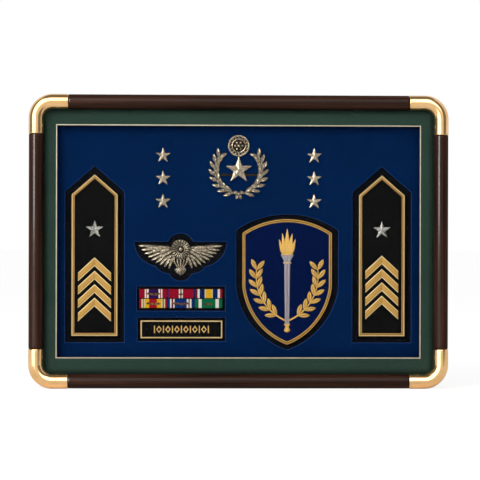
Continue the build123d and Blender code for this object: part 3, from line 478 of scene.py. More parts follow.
# ---- Brass corners -------------------------------------------------------------------------------
# Four elbows of polished brass sheet, 1.5 mm thick, that wrap the outside, the nose and the sight edge of
# the moulding. Their rims are rolled slightly, and they stand just proud of the wood.

ELBOW = 25.5 * MM
ELBOW_STEPS = 36
RIM = 0.55 * MM
BRASS = srgb(252, 207, 150)
BRASS_SHADE = srgb(238, 190, 126)


def brass_section(inset):
    """The brass channel, with its outer skin drawn in by inset at a rim."""
    lip = [(FACE - inset, LIP), (FACE - BRASS_WALL, LIP)]
    inside = reversed(half_round(NOSE - BRASS_WALL))
    skirt = [(BRASS_WALL, DEPTH), (inset, DEPTH)]
    return [*half_round(NOSE - inset), *lip, *inside, *skirt]


def elbow_frames(corner, along, across):
    """Frames round one corner: up one arm, round the bend and out along the other arm."""
    rims = [(0.0, RIM), (0.08 * MM, 0.6 * RIM), (0.25 * MM, 0.22 * RIM), (RIM, 0.0), (2 * RIM, 0.0)]
    centre = corner + (along + across) * ELBOW
    frames = [(corner + across * (ARM - offset), along) for offset, _ in rims]
    insets = [inset for _, inset in rims]
    for step in range(ELBOW_STEPS + 1):
        angle = math.radians(90) * step / ELBOW_STEPS
        inward = along * math.cos(angle) + across * math.sin(angle)
        frames.append((centre - inward * ELBOW, inward))
        insets.append(0.0)
    frames += [(corner + along * (ARM - offset), across) for offset, _ in reversed(rims)]
    insets += [inset for _, inset in reversed(rims)]
    return frames, [brass_section(inset) for inset in insets]


def handling_group():
    """Soft unevenness of metal that is polished and handled: smudges and very fine scratches."""
    tree, given, out = new_group(
        "handling", [("Smudge Size", FLOAT, 60.0)], [("Smudges", FLOAT), ("Scratches", FLOAT)]
    )
    place = object_place(tree)
    fine = add(tree, "ShaderNodeMapping", {"Vector": place, "Scale": (900, 900, 9000)}).outputs[0]
    smudges = noise(tree, place, given["Smudge Size"], 3.0)
    feed(tree, out, {"Smudges": smudges, "Scratches": noise(tree, fine, 1.0, 1.0)})
    return tree


HANDLING = handling_group()


def polished(name, colour, shade, roughness):
    """Bright metal with a little tarnish in its smudges."""
    material, tree, shader = new_material(name, Metallic=1.0, Specular_IOR_Level=0.5)
    worn = use_group(tree, HANDLING, {"Smudge Size": 60.0})
    height = maths(tree, "ADD", worn["Smudges"], maths(tree, "MULTIPLY", worn["Scratches"], 0.03))
    feed(tree, shader, {
        "Base Color": blend_colour(tree, rescale(tree, worn["Smudges"], 0.35, 0.7), colour, shade),
        "Roughness": rescale(tree, worn["Smudges"], 0.3, 0.7, roughness, roughness * 1.7),
        "Normal": bump(tree, height, 0.12, 0.25 * MM),
    })
    return material


def arms(corner):
    """Directions of the two sides of the case that meet in a corner: across the case, and up or down."""
    return RIGHT if corner.x < 0 else -RIGHT, UP if corner.z < MIDDLE else -UP


POLISHED_BRASS = polished("polished_brass", BRASS, BRASS_SHADE, 0.10)
for name, corner in CORNERS.items():
    shape = swept(*elbow_frames(corner, *arms(corner)))
    add_piece(f"brass_corner_{name}", shape, [POLISHED_BRASS], [f"corner_cap_{name}"])

# ---- Dowels --------------------------------------------------------------------------------------
# Beech dowels, two in each corner, glued between the corner block and the spigots of the rails. Their
# grain runs with the rail.

BEECH = srgb(190, 150, 104)
BEECH_DARK = srgb(160, 120, 78)
beech, tree, shader = new_material("beech", Roughness=0.6)
grain = use_group(tree, GRAIN, {"Vector": object_place(tree)})
feed(tree, shader, {"Base Color": blend_colour(tree, grain["Streaks"], BEECH, BEECH_DARK)})
refinish(beech, "corner_dowels")

# ---- Corner screws -------------------------------------------------------------------------------
# Countersunk brass screws with a cross recess, one in the outer side of each arm of a corner. They hold
# the brass on the rails.

CORNER_SCREW_HEAD = 2.3 * MM
CORNER_SCREW_CAP = 0.5 * MM
CORNER_SCREW_SKIRT = 0.9 * MM
CORNER_SCREW_RADIUS = 1.2 * MM
CORNER_SCREW_LENGTH = 7.0 * MM
CORNER_SCREW_DEPTH = 33.0 * MM
CORNER_SCREW_PLACE = ARM - SPIGOT / 2


def case_point(x, z, depth=0.0):
    """A point from the middle of the case, at a depth behind the front of the moulding."""
    return Vector((x, FRONT + depth, MIDDLE + z))


def rectangle(width, height, x=0.0, z=0.0):
    """Corners of a rectangle round a centre."""
    return [(x + sx * width / 2, z + sz * height / 2) for sx, sz in ((-1, -1), (1, -1), (1, 1), (-1, 1))]


def circle(radius, x=0.0, z=0.0, steps=24):
    """Points of a circle, counter-clockwise."""
    angles = [math.tau * step / steps for step in range(steps)]
    return [(x + radius * math.cos(angle), z + radius * math.sin(angle)) for angle in angles]


def flat(outlines, thickness, ease):
    """A flat plate with eased edges, upright from y = 0 backwards. The first outline is its rim, the others
    are holes; all are (x, z) points."""
    curve = bpy.data.curves.new("plate", "CURVE")
    curve.dimensions = "2D"
    curve.fill_mode = "BOTH"
    for outline in outlines:
        line = curve.splines.new("POLY")
        line.points.add(len(outline) - 1)
        for point, (x, z) in zip(line.points, outline):
            point.co = (x, z, 0, 1)
        line.use_cyclic_u = True
    curve.bevel_depth = ease
    curve.bevel_resolution = 1
    curve.offset = -ease
    curve.extrude = thickness / 2 - ease
    holder = bpy.data.objects.new("plate", curve)
    mesh = bpy.data.meshes.new_from_object(holder)
    bpy.data.objects.remove(holder)
    mesh.transform(Matrix.Translation((0, thickness / 2, 0)) @ Matrix.Rotation(math.radians(90), 4, "X"))
    return mesh


def plate(outlines, front, back, ease):
    """A flat plate in the case, between two depths, with its outlines from the middle of the case."""
    mesh = flat(outlines, back - front, ease)
    mesh.transform(Matrix.Translation(case_point(0, 0, front)))
    return mesh


def skin(shape, rows):
    """Adds the faces between closed rows of vertices. A row may be a single vertex."""
    for before, after in zip(rows, rows[1:]):
        count = max(len(before), len(after))
        for index in range(count):
            step = (index + 1) % count
            corners = [before[index % len(before)], before[step % len(before)]]
            corners += [after[step % len(after)], after[index % len(after)]]
            shape.faces.new(dict.fromkeys(corners))


def disc(shape, x, z, rings, steps=32):
    """Adds a turned shape: rings are (radius, depth) pairs from its front centre to its back."""
    rows = []
    for radius, depth in rings:
        if radius < 1e-6:
            rows.append([shape.verts.new(case_point(x, z, depth))])
            continue
        rows.append([shape.verts.new(case_point(a, b, depth)) for a, b in circle(radius, x, z, steps)])
    skin(shape, rows)
    if len(rows[-1]) > 1:
        shape.faces.new(rows[-1])


def joined(*parts):
    """One bmesh from meshes or bmeshes, each with the index of its finish, or None to keep its own."""
    whole = bmesh.new()
    for part, index in parts:
        mesh = part
        if isinstance(part, bmesh.types.BMesh):
            mesh = bpy.data.meshes.new("part")
            part.to_mesh(mesh)
            part.free()
        before = len(whole.faces)
        whole.from_mesh(mesh)
        whole.faces.ensure_lookup_table()
        for face in whole.faces[before:]:
            face.material_index = face.material_index if index is None else index
    return whole


def solid(*parts):
    """One bmesh from parts, like joined, with all its faces turned outwards."""
    whole = joined(*parts)
    bmesh.ops.recalc_face_normals(whole, faces=whole.faces)
    return whole


def cross(size):
    """Outline of a cross recess."""
    arm, half = size, size * 0.28
    corner = [(half, half), (half, arm), (-half, arm), (-half, half), (-arm, half), (-arm, -half)]
    return [(arm, -half), (arm, half)] + corner + [(-half, -half), (-half, -arm), (half, -arm), (half, -half)]


def screw(head_radius, skirt, cap, radius, length):
    """A screw along Y: the flat top of its head at y = 0 faces the front, its shank points backwards. The
    skirt is the height of the head below its recessed cap."""
    top = flat([circle(head_radius), cross(head_radius * 0.6)], cap, cap * 0.3)
    body = bmesh.new()
    disc(body, 0, 0, [(0, cap), (head_radius * 0.97, cap), (radius, cap + skirt), (radius, length)], steps=24)
    mesh = bpy.data.meshes.new("body")
    body.to_mesh(mesh)
    body.free()
    mesh.transform(Matrix.Translation(-case_point(0, 0)))
    return joined((top, 0), (mesh, 0))


SCREW_BRASS = polished("screw_brass", srgb(226, 190, 120), srgb(180, 140, 80), 0.22)
fixings = []
for corner in CORNERS.values():
    along, across = arms(corner)
    for run, inward in ((along, across), (across, along)):
        place = corner + run * CORNER_SCREW_PLACE + Vector((0, CORNER_SCREW_DEPTH, 0))
        turn = Vector((0, 1, 0)).rotation_difference(inward).to_matrix().to_4x4()
        fixing = screw(
            CORNER_SCREW_HEAD, CORNER_SCREW_SKIRT, CORNER_SCREW_CAP, CORNER_SCREW_RADIUS, CORNER_SCREW_LENGTH
        )
        fixing.transform(Matrix.Translation(place) @ turn)
        fixings.append((fixing, 0))
add_piece("countersunk_screws", solid(*fixings), [SCREW_BRASS], ["corner_screws"])

# ---- Glass ---------------------------------------------------------------------------------------
# A 2 mm pane of museum glass, coated so that it hardly reflects, laid against the lip of the rebate. It
# casts no shadow on what lies behind it.

glass, tree, shader = new_material(
    "museum_glass", Roughness=0.0, IOR=1.04, Transmission_Weight=1.0, Metallic=0.0
)
dust = noise(tree, object_place(tree), 25.0, 2.0)
feed(tree, shader, {"Base Color": blend_colour(tree, dust, srgb(255, 255, 255), srgb(250, 253, 252))})
ray = add(tree, "ShaderNodeLightPath")
passing = maths(tree, "MAXIMUM", ray.outputs["Is Shadow Ray"], ray.outputs["Is Diffuse Ray"])
clear = add(tree, "ShaderNodeBsdfTransparent")
pane = add(tree, "ShaderNodeMixShader", {0: passing, 1: shader.outputs[0], 2: clear.outputs[0]})
feed(tree, tree.nodes["Material Output"], {"Surface": pane.outputs[0]})
refinish(glass, "glass_pane")

# ---- Green outer mat -----------------------------------------------------------------------------
# Mount board faced with dark green suede, which is turned over the edge of its window. It lies against
# the glass.

MAT_EASE = 0.5 * MM
AIR_GAP = 0.1 * MM
FILLET_BEAD = 2.0 * MM
FLANGE = 6.0 * MM
GREEN = srgb(40, 58, 50)
GREEN_NAP = srgb(50, 70, 60)
LIP_SHADE = 5.5 * MM


def node_depths(name):
    """Front and back of a node, as depths behind the front of the moulding."""
    low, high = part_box(name)
    return low.y - FRONT, high.y - FRONT


def node_size(name):
    """Width and height of a node."""
    low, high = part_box(name)
    return high.x - low.x, high.z - low.z


def nap_group():
    """Suede: strokes of the nap that a hand leaves, and the fine pile itself."""
    tree, _, out = new_group("suede_nap", [], [("Strokes", FLOAT), ("Pile", FLOAT)])
    place = object_place(tree)
    slant = add(tree, "ShaderNodeMapping", {
        "Vector": place, "Rotation": (0, math.radians(-28), 0), "Scale": (14, 14, 30),
    }).outputs[0]
    feed(tree, out, {"Strokes": noise(tree, slant, 1.0, 4.0), "Pile": noise(tree, place, 2600.0, 2.0)})
    return tree


NAP = nap_group()


def suede(name, colour, light, lip=None):
    """Suede board, lighter where its nap is stroked. A lip gives the half width and half height of an
    opening; towards its edge the board's colour is darkened, a painted shade."""
    material, tree, shader = new_material(
        name, Roughness=0.95, Specular_IOR_Level=0.02, Sheen_Weight=0.02, Sheen_Roughness=0.45,
        Sheen_Tint=light,
    )
    nap = use_group(tree, NAP, {})
    stroke = maths(tree, "MULTIPLY", rescale(tree, nap["Strokes"], 0.3, 0.75), 0.35)
    base = blend_colour(tree, stroke, colour, light)
    base = blend_colour(tree, 1.0, base, rescale(tree, nap["Pile"], 0.3, 0.7, 0.8, 1.15), "MULTIPLY")
    # Painted shade: the colour darkens within LIP_SHADE of the opening's edge, as under the rails' lip.
    if lip:
        at = add(tree, "ShaderNodeSeparateXYZ", {0: object_place(tree)})
        aside = maths(tree, "SUBTRACT", lip[0], maths(tree, "ABSOLUTE", at.outputs["X"]))
        height = maths(tree, "ABSOLUTE", maths(tree, "SUBTRACT", at.outputs["Z"], MIDDLE))
        inside = maths(tree, "MINIMUM", aside, maths(tree, "SUBTRACT", lip[1], height))
        base = blend_colour(tree, 1.0, base, rescale(tree, inside, 0.0, LIP_SHADE, 0.4, 1.0), "MULTIPLY")
    feed(tree, shader, {"Base Color": base, "Normal": bump(tree, nap["Pile"], 0.5, 0.12 * MM)})
    return material


rails_inside = (-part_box("rail_left")[1].x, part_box("rail_top")[0].z - MIDDLE)
GREEN_SUEDE = suede("green_suede", GREEN, GREEN_NAP, lip=rails_inside)
MAT_DEPTHS = node_depths("outer_mat")
MAT_SIZE = node_size("outer_mat")
SIGHT_WIDTH, SIGHT_HEIGHT = [size - 2 * (FLANGE + FILLET_BEAD) for size in node_size("gold_fillet")]
window = rectangle(SIGHT_WIDTH + 2 * FILLET_BEAD, SIGHT_HEIGHT + 2 * FILLET_BEAD)
outer_mat = plate([rectangle(*MAT_SIZE), window], MAT_DEPTHS[0] + AIR_GAP, MAT_DEPTHS[1], MAT_EASE)
add_piece("suede_outer_mat", outer_mat, [GREEN_SUEDE], ["outer_mat"])

# ---- Pale gilt fillet ----------------------------------------------------------------------------
# A slim wooden fillet in pale champagne gilt, mitred at its corners. Its bead lines the window, and its
# flange is glued behind the green mat.

BEAD_STEPS = 6
BEAD_SHOULDER = 0.3 * MM
BEAD_CROWN = 0.45 * MM
BEAD_PROUD = 0.05 * MM
LEDGE = 0.75 * MM
LEDGE_DEPTH = 0.8 * MM
QUIRK = 0.25 * MM
MAT_SEAT = 1.0 * MM
fillet_front, fillet_back = node_depths("gold_fillet")


def bead_profile():
    """A ledge at the sight edge, black as painted shade, a gilt bead with rounded shoulders, a quirk beside
    the mat and a flat flange behind, as (across, back) pairs."""
    angles = [math.pi / 2 * step / BEAD_STEPS for step in range(BEAD_STEPS + 1)]
    crown = [
        (BEAD_SHOULDER * (1 - math.cos(angle)), BEAD_CROWN * (1 - math.sin(angle)) - BEAD_PROUD)
        for angle in angles
    ]
    bead_end = FILLET_BEAD - QUIRK
    inner = [(LEDGE + across, back) for across, back in crown]
    outer = [(bead_end - across, back) for across, back in reversed(crown)]
    reach = FILLET_BEAD + FLANGE
    thickness = fillet_back - fillet_front
    return [
        (0, LEDGE_DEPTH), (LEDGE, LEDGE_DEPTH), *inner, *outer, (bead_end, MAT_SEAT), (reach, MAT_SEAT),
        (reach, thickness), (0, thickness),
    ]


def ring_frames(outline, depth):
    """Mitred frames round a closed outline, with the direction across pointing outwards."""
    frames = []
    count = len(outline)
    for index, point in enumerate(outline):
        before, after = outline[index - 1], outline[(index + 1) % count]
        arriving = Vector((point[0] - before[0], 0, point[1] - before[1])).normalized()
        leaving = Vector((after[0] - point[0], 0, after[1] - point[1])).normalized()
        outward = Vector((arriving.z + leaving.z, 0, -arriving.x - leaving.x)).normalized()
        stretch = 1 / max(0.3, outward.dot(Vector((leaving.z, 0, -leaving.x))))
        frames.append((case_point(*point, depth), outward * stretch))
    return frames


gilt, tree, shader = new_material("champagne_gilt", Metallic=0.35, Roughness=0.38, Specular_IOR_Level=0.4)
rub = noise(tree, object_place(tree), 260.0, 3.0)
tone = blend_colour(tree, rescale(tree, rub, 0.35, 0.75), srgb(218, 205, 183), srgb(192, 176, 150))
feed(tree, shader, {"Base Color": tone, "Normal": bump(tree, rub, 0.2, 0.05 * MM)})
ledge_painted_shade, _, _ = new_material(
    "ledge_painted_shade", Base_Color=srgb(14, 13, 14), Roughness=0.6, Specular_IOR_Level=0.05
)
frames = ring_frames(rectangle(SIGHT_WIDTH, SIGHT_HEIGHT), fillet_front)
fillet = swept(frames, [bead_profile()] * len(frames), ring=True)
# Faces of the ledge take the black of painted shade; the rest is gilt.
for face in fillet.faces:
    centre = face.calc_center_median()
    across = max(abs(centre.x) - SIGHT_WIDTH / 2, abs(centre.z - MIDDLE) - SIGHT_HEIGHT / 2)
    face.material_index = int(across < LEDGE * 1.01)
add_piece("gilt_fillet_ring", fillet, [gilt, ledge_painted_shade], ["gold_fillet"])

# ---- Riser strips, backing card and foam ---------------------------------------------------------
# Black foam board strips hold the two mats apart. Behind the blue mat lie a black card, which shows in the
# cut-outs, and a foam filler with pockets for the clutches.


def fibre_group():
    """Pressed fibres of card and board: long soft flecks and a fine tooth."""
    tree, given, out = new_group("fibres", [("Size", FLOAT, 900.0)], [("Flecks", FLOAT), ("Tooth", FLOAT)])
    place = object_place(tree)
    drawn_out = add(tree, "ShaderNodeMapping", {"Vector": place, "Scale": (0.25, 1, 1)}).outputs[0]
    flecks = noise(tree, drawn_out, given["Size"], 2.0, 0.6)
    feed(tree, out, {"Flecks": flecks, "Tooth": noise(tree, place, given["Size"], 4.0)})
    return tree


FIBRES = fibre_group()


def board_stock(name, colour, fleck, size, roughness, relief):
    """Card, foam board or hardboard."""
    material, tree, shader = new_material(name, Roughness=roughness, Specular_IOR_Level=0.02)
    fibres = use_group(tree, FIBRES, {"Size": size})
    tone = blend_colour(tree, rescale(tree, fibres["Flecks"], 0.45, 0.7), colour, fleck)
    feed(tree, shader, {"Base Color": tone, "Normal": bump(tree, fibres["Tooth"], 0.4, relief)})
    return material


foam_board = board_stock("foam_board", srgb(30, 30, 33), srgb(44, 44, 48), 500.0, 0.8, 0.1 * MM)
black_card = board_stock("black_card", srgb(12, 13, 17), srgb(18, 20, 25), 1100.0, 0.9, 0.05 * MM)
refinish(foam_board, "riser_strips", "foam_filler")
refinish(black_card, "backing_card")

# ---- Blue inner mat ------------------------------------------------------------------------------
# Thick mount board faced with royal blue suede, cut out round each badge. Its cut edges show as a thin
# lighter line. The stars and the wreath are pinned through it.

CUT_EASE = 0.5 * MM
BOARD_CUTOUT = 7.0 * MM
SHIELD_CUTOUT = 5.2 * MM
RIBBON_CUTOUT = 3.0 * MM
PLATE_CUTOUT = 3.2 * MM
WING_CUTOUT = 4.3 * MM
BOARD_SHOULDER_DROP = 21.4 * MM
SHIELD_ARCH = 14.8 * MM
SHIELD_SIDE = 58.4 * MM
SHIELD_FLANK = (0.704, 0.58)  # on the flank, in shares of the half width and of the height of the foot
ROUNDEL_STAND = 6.8 * MM
COLLAR = 13.2 * MM
BULGE = 6.4 * MM
BLUE = srgb(2, 25, 60)
BLUE_NAP = srgb(4, 36, 80)


def arc(centre, radius, start, end, steps):
    """Points on an arc, with its angles in degrees, counter-clockwise from +X."""
    angles = [math.radians(start + (end - start) * step / steps) for step in range(steps + 1)]
    return [(centre[0] + radius * math.cos(angle), centre[1] + radius * math.sin(angle)) for angle in angles]


def circle_through(start, middle, end):
    """Centre and radius of the circle through three points."""
    (ax, ay), (bx, by), (cx, cy) = start, middle, end
    double = 2 * (ax * (by - cy) + bx * (cy - ay) + cx * (ay - by))
    a, b, c = ax * ax + ay * ay, bx * bx + by * by, cx * cx + cy * cy
    x = (a * (by - cy) + b * (cy - ay) + c * (ay - by)) / double
    y = (a * (cx - bx) + b * (ax - cx) + c * (bx - ax)) / double
    return x, y, math.hypot(ax - x, ay - y)


def three_point_arc(start, middle, end, steps):
    """Points on the arc through three points, without the last one."""
    x, y, radius = circle_through(start, middle, end)
    first, through, last = (math.atan2(py - y, px - x) for px, py in (start, middle, end))
    turn = (last - first) % math.tau
    if (through - first) % math.tau > turn:
        turn -= math.tau
    angles = [first + turn * step / steps for step in range(steps)]
    return [(x + radius * math.cos(angle), y + radius * math.sin(angle)) for angle in angles]


def middle_of(name):
    """Centre of a node, from the middle of the case."""
    low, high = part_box(name)
    return (low.x + high.x) / 2, (low.z + high.z) / 2 - MIDDLE


def board_outline(side, grow):
    """Pointed shoulder board, with each edge moved outwards by grow from the braid."""
    low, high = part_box(f"board_braid_{side}")
    x = (low.x + high.x) / 2
    half = (high.x - low.x) / 2
    slope = BOARD_SHOULDER_DROP / half
    apex = high.z - MIDDLE + grow * math.hypot(1, slope)
    bottom = low.z - MIDDLE - grow
    half += grow
    shoulder = apex - slope * half
    return [(x - half, bottom), (x + half, bottom), (x + half, shoulder), (x, apex), (x - half, shoulder)]


def shield_outline(grow):
    """Shield with an arched top and a pointed foot, with each edge moved outwards by grow."""
    low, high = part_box("shield_patch")
    x, half = (low.x + high.x) / 2, (high.x - low.x) / 2
    crown, tip = high.z - MIDDLE, low.z - MIDDLE
    waist = crown - SHIELD_ARCH - SHIELD_SIDE
    top_radius = (half**2 + SHIELD_ARCH**2) / (2 * SHIELD_ARCH)
    out, down = SHIELD_FLANK
    on_flank = (out * half, waist - down * (waist - tip))
    flank_x, flank_z, flank = circle_through((half, waist), on_flank, (0, tip))
    top_turn = math.degrees(math.asin((half + grow) / (top_radius + grow)))
    first = math.degrees(math.atan2(waist - flank_z, half - flank_x))
    last = -math.degrees(math.acos(-flank_x / (flank + grow)))
    top = arc((x, crown - top_radius), top_radius + grow, 90 - top_turn, 90 + top_turn, 32)
    left = arc((x - flank_x, flank_z), flank + grow, 180 - first, 180 - last, 24)
    right = arc((x + flank_x, flank_z), flank + grow, last, first, 24)
    return top + left + right[1:]


def winged_outline():
    """Opening round the winged badge: straight top with a round bulge, lobed below."""
    low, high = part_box("winged_badge")
    centre = (low.x + high.x) / 2
    half = (high.x - low.x) / 2 + WING_CUTOUT
    roundel_top = high.z - MIDDLE
    top = roundel_top - ROUNDEL_STAND + WING_CUTOUT

    def at(out, down):
        return (out * half, top - down * half)

    waist, end, far_end = at(0.538, 0.53), at(0.245, 0.684), at(-0.245, 0.684)
    right = [(COLLAR, top)] + three_point_arc((half, top), at(0.887, 0.324), waist, 12)
    right += three_point_arc(waist, at(0.413, 0.648), end, 10)
    base = three_point_arc(end, at(0, 0.85), far_end, 16) + [far_end]
    left = [(-x, z) for x, z in reversed(right)]
    bulge = three_point_arc((-COLLAR, top), (0, roundel_top + BULGE), (COLLAR, top), 20)[1:]
    return [(centre + x, z) for x, z in right + base + left + bulge]


def grown_box(name, grow):
    """Rectangle round a node."""
    width, height = node_size(name)
    return rectangle(width + 2 * grow, height + 2 * grow, *middle_of(name))


BLUE_SUEDE = suede("blue_suede", BLUE, BLUE_NAP)
BLUE_EDGE = suede("blue_suede_edge", srgb(30, 54, 100), srgb(42, 70, 120))
openings = [
    board_outline("left", BOARD_CUTOUT), board_outline("right", BOARD_CUTOUT), shield_outline(SHIELD_CUTOUT),
    winged_outline(), grown_box("ribbon_rack", RIBBON_CUTOUT), grown_box("name_plate", PLATE_CUTOUT),
]
inner_mat = plate([rectangle(*MAT_SIZE), *openings], *node_depths("inner_mat"), CUT_EASE)
inner_mat.materials.append(BLUE_SUEDE)
inner_mat.materials.append(BLUE_EDGE)
for face in inner_mat.polygons:
    eased_edge = -0.97 < face.normal.y < -0.15
    face.material_index = int(eased_edge)
add_piece("suede_inner_mat", inner_mat, [], ["inner_mat"])

# ---- Star pins -----------------------------------------------------------------------------------
# Six die-struck stars in antique brass, three on each side. A post on the back of each goes through the
# mat to a clutch behind the card.

PIN_STAR_RADIUS = 8.8 * MM
STAR_PLATE = 1.4 * MM
STAR_RISE = 1.4 * MM
STAR_EASE = 0.15 * MM
MAT_FACE, CARD_FACE = node_depths("inner_mat")
POST_RADIUS = 0.6 * MM
POST_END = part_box("pin_clutches")[1].y - FRONT


def turned(points, turn, x=0.0, z=0.0):
    """Points turned counter-clockwise by an angle in degrees and moved."""
    sine, cosine = math.sin(math.radians(turn)), math.cos(math.radians(turn))
    return [(x + a * cosine - b * sine, z + a * sine + b * cosine) for a, b in points]


def star_points(radius):
    """Corners of an upright five-pointed star with straight arms."""
    inner = radius * math.sin(math.radians(18)) / math.sin(math.radians(54))
    return [turned([(reach, 0)], 90 + 36 * step)[0] for step, reach in enumerate([radius, inner] * 5)]


def faceted_star(shape, x, z, seat, radius, plate_height, rise):
    """Adds a star with a low rim, an eased edge and ten facets that meet in the middle."""
    layers = [(radius, 0.0), (radius, plate_height - STAR_EASE), (radius - 1.6 * STAR_EASE, plate_height)]
    rows = []
    for reach, height in layers:
        rows.append([shape.verts.new(case_point(x + a, z + b, seat - height)) for a, b in star_points(reach)])
    rows.append([shape.verts.new(case_point(x, z, seat - plate_height - rise))])
    skin(shape, rows)
    shape.faces.new(rows[0])


def post(shape, x, z, seat):
    """Adds the post soldered on the back of a badge."""
    disc(shape, x, z, [(0, seat), (POST_RADIUS, seat), (POST_RADIUS, POST_END)], steps=10)


def antique(name, bright, worn, dark, reach):
    """Antiqued metal: dark in its recesses, bright on its edges."""
    material, tree, shader = new_material(name, Metallic=0.9, Specular_IOR_Level=0.5)
    hollow = add(tree, "ShaderNodeAmbientOcclusion", {"Distance": reach}, only_local=True, samples=8)
    depth = rescale(tree, hollow.outputs["AO"], 0.64, 0.97)
    smudges = use_group(tree, HANDLING, {"Smudge Size": 700.0})["Smudges"]
    face = blend_colour(tree, rescale(tree, smudges, 0.38, 0.66), bright, worn)
    feed(tree, shader, {
        "Base Color": blend_colour(tree, depth, dark, face),
        "Roughness": rescale(tree, depth, 0.0, 1.0, 0.6, 0.24),
        "Normal": bump(tree, smudges, 0.25, 0.1 * MM),
    })
    return material


ANTIQUE = antique("antique_brass", srgb(184, 170, 149), srgb(120, 106, 86), srgb(16, 11, 7), 1.4 * MM)
BLACKENED = antique("blackened_brass", srgb(58, 46, 34), srgb(40, 31, 22), srgb(12, 9, 6), 1.4 * MM)
for side in ("left", "right"):
    low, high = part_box(f"star_pins_{side}")
    star_x = (low.x + high.x) / 2
    top_star = high.z - MIDDLE - PIN_STAR_RADIUS
    bottom_star = low.z - MIDDLE + PIN_STAR_RADIUS * math.cos(math.radians(36))
    shape = bmesh.new()
    for star_z in (top_star, (top_star + bottom_star) / 2, bottom_star):
        faceted_star(shape, star_x, star_z, MAT_FACE, PIN_STAR_RADIUS, STAR_PLATE, STAR_RISE)
        post(shape, star_x, star_z, MAT_FACE)
    stars = solid((shape, 0))
    add_piece(f"struck_stars_{side}", stars, [ANTIQUE], [f"star_pins_{side}"], smooth=20)

# ---- Wreath badge --------------------------------------------------------------------------------
# Die-struck laurel wreath in antique brass: two branches tied at the foot, a faceted star in the middle
# and a beaded rosette above, all joined by struts behind. Two posts pin it to the mat.


def scatter_tree():
    """Copies of one shape on points, each turned and sized by its point's attributes."""
    tree = bpy.data.node_groups.new("scatter", "GeometryNodeTree")
    for key, kind in (
        ("Points", "NodeSocketGeometry"), ("Shape", "NodeSocketObject"), ("Finish", "NodeSocketMaterial"),
        ("Disorder", FLOAT), ("Seed", "NodeSocketInt"),
    ):
        tree.interface.new_socket(key, in_out="INPUT", socket_type=kind)
    tree.interface.new_socket("Copies", in_out="OUTPUT", socket_type="NodeSocketGeometry")
    given = tree.nodes.new("NodeGroupInput").outputs
    shape = add(tree, "GeometryNodeObjectInfo", {"Object": given["Shape"]})
    turn = add(tree, "GeometryNodeInputNamedAttribute", {"Name": "turn"}, data_type="FLOAT_VECTOR")
    size = add(tree, "GeometryNodeInputNamedAttribute", {"Name": "size"}, data_type="FLOAT_VECTOR")
    least = maths(tree, "MULTIPLY", given["Disorder"], -1.0)
    stray = add(
        tree, "FunctionNodeRandomValue", {0: least, 1: given["Disorder"], "Seed": given["Seed"]},
        data_type="FLOAT_VECTOR",
    )
    angles = add(tree, "ShaderNodeVectorMath", {0: turn.outputs[0], 1: stray.outputs[0]})
    rotation = add(tree, "FunctionNodeEulerToRotation", {0: angles.outputs[0]})
    copies = add(tree, "GeometryNodeInstanceOnPoints", {
        "Points": given["Points"], "Instance": shape.outputs["Geometry"],
        "Rotation": rotation.outputs[0], "Scale": size.outputs[0],
    })
    solid = add(tree, "GeometryNodeRealizeInstances", {0: copies.outputs[0]})
    painted = add(tree, "GeometryNodeSetMaterial", {
        "Geometry": solid.outputs[0], "Material": given["Finish"],
    })
    add(tree, "NodeGroupOutput", {"Copies": painted.outputs[0]})
    return tree


SCATTER = scatter_tree()


def grown(tree, data, settings):
    """The mesh a Geometry Nodes tree makes, with its inputs set by name."""
    holder = bpy.data.objects.new("holder", data)
    bpy.context.scene.collection.objects.link(holder)
    modifier = holder.modifiers.new("nodes", "NODES")
    modifier.node_group = tree
    for item in tree.interface.items_tree:
        if item.in_out == "INPUT" and item.name in settings:
            modifier[item.identifier] = settings[item.name]
    bpy.context.view_layer.update()
    seen = holder.evaluated_get(bpy.context.evaluated_depsgraph_get())
    mesh = bpy.data.meshes.new_from_object(seen)
    holder.modifiers.remove(modifier)
    bpy.data.objects.remove(holder)
    return mesh


def scattered(template, places, finish, disorder=0.0, seed=1):
    """Copies of a template shape. A place is a point, a turn in degrees round the line of sight, and the
    copy's length, depth and width."""
    master_mesh = bpy.data.meshes.new("template")
    template.to_mesh(master_mesh)
    template.free()
    master_mesh.shade_smooth()
    master = bpy.data.objects.new("template", master_mesh)
    points = bpy.data.meshes.new("points")
    points.from_pydata([place[0] for place in places], [], [])
    turns = points.attributes.new("turn", "FLOAT_VECTOR", "POINT")
    turns.data.foreach_set("vector", [part for _, turn, _ in places for part in (0, -math.radians(turn), 0)])
    sizes = points.attributes.new("size", "FLOAT_VECTOR", "POINT")
    sizes.data.foreach_set("vector", [part for _, _, size in places for part in size])
    settings = {"Shape": master, "Finish": finish, "Disorder": disorder, "Seed": seed}
    mesh = grown(SCATTER, points, settings)
    bpy.data.objects.remove(master)
    return mesh


def leaf(half_widths, groove=0.35):
    """Template of a leaf or feather of unit length, depth and width, lying along +X with its face to -Y.
    Half widths are given along its length; a groove runs down its middle."""
    sections = []
    for half in half_widths:
        rise = min(1.0, 2.2 * half)
        sections.append([
            (-half, 0), (-0.92 * half, -0.45 * rise), (-0.5 * half, -rise), (-0.12 * half, -0.9 * rise),
            (0, -(1 - groove) * rise), (0.12 * half, -0.9 * rise), (0.5 * half, -rise),
            (0.92 * half, -0.45 * rise), (half, 0),
        ])
    last = len(half_widths) - 1
    return swept([(Vector((index / last, 0, 0)), UP) for index in range(last + 1)], sections)


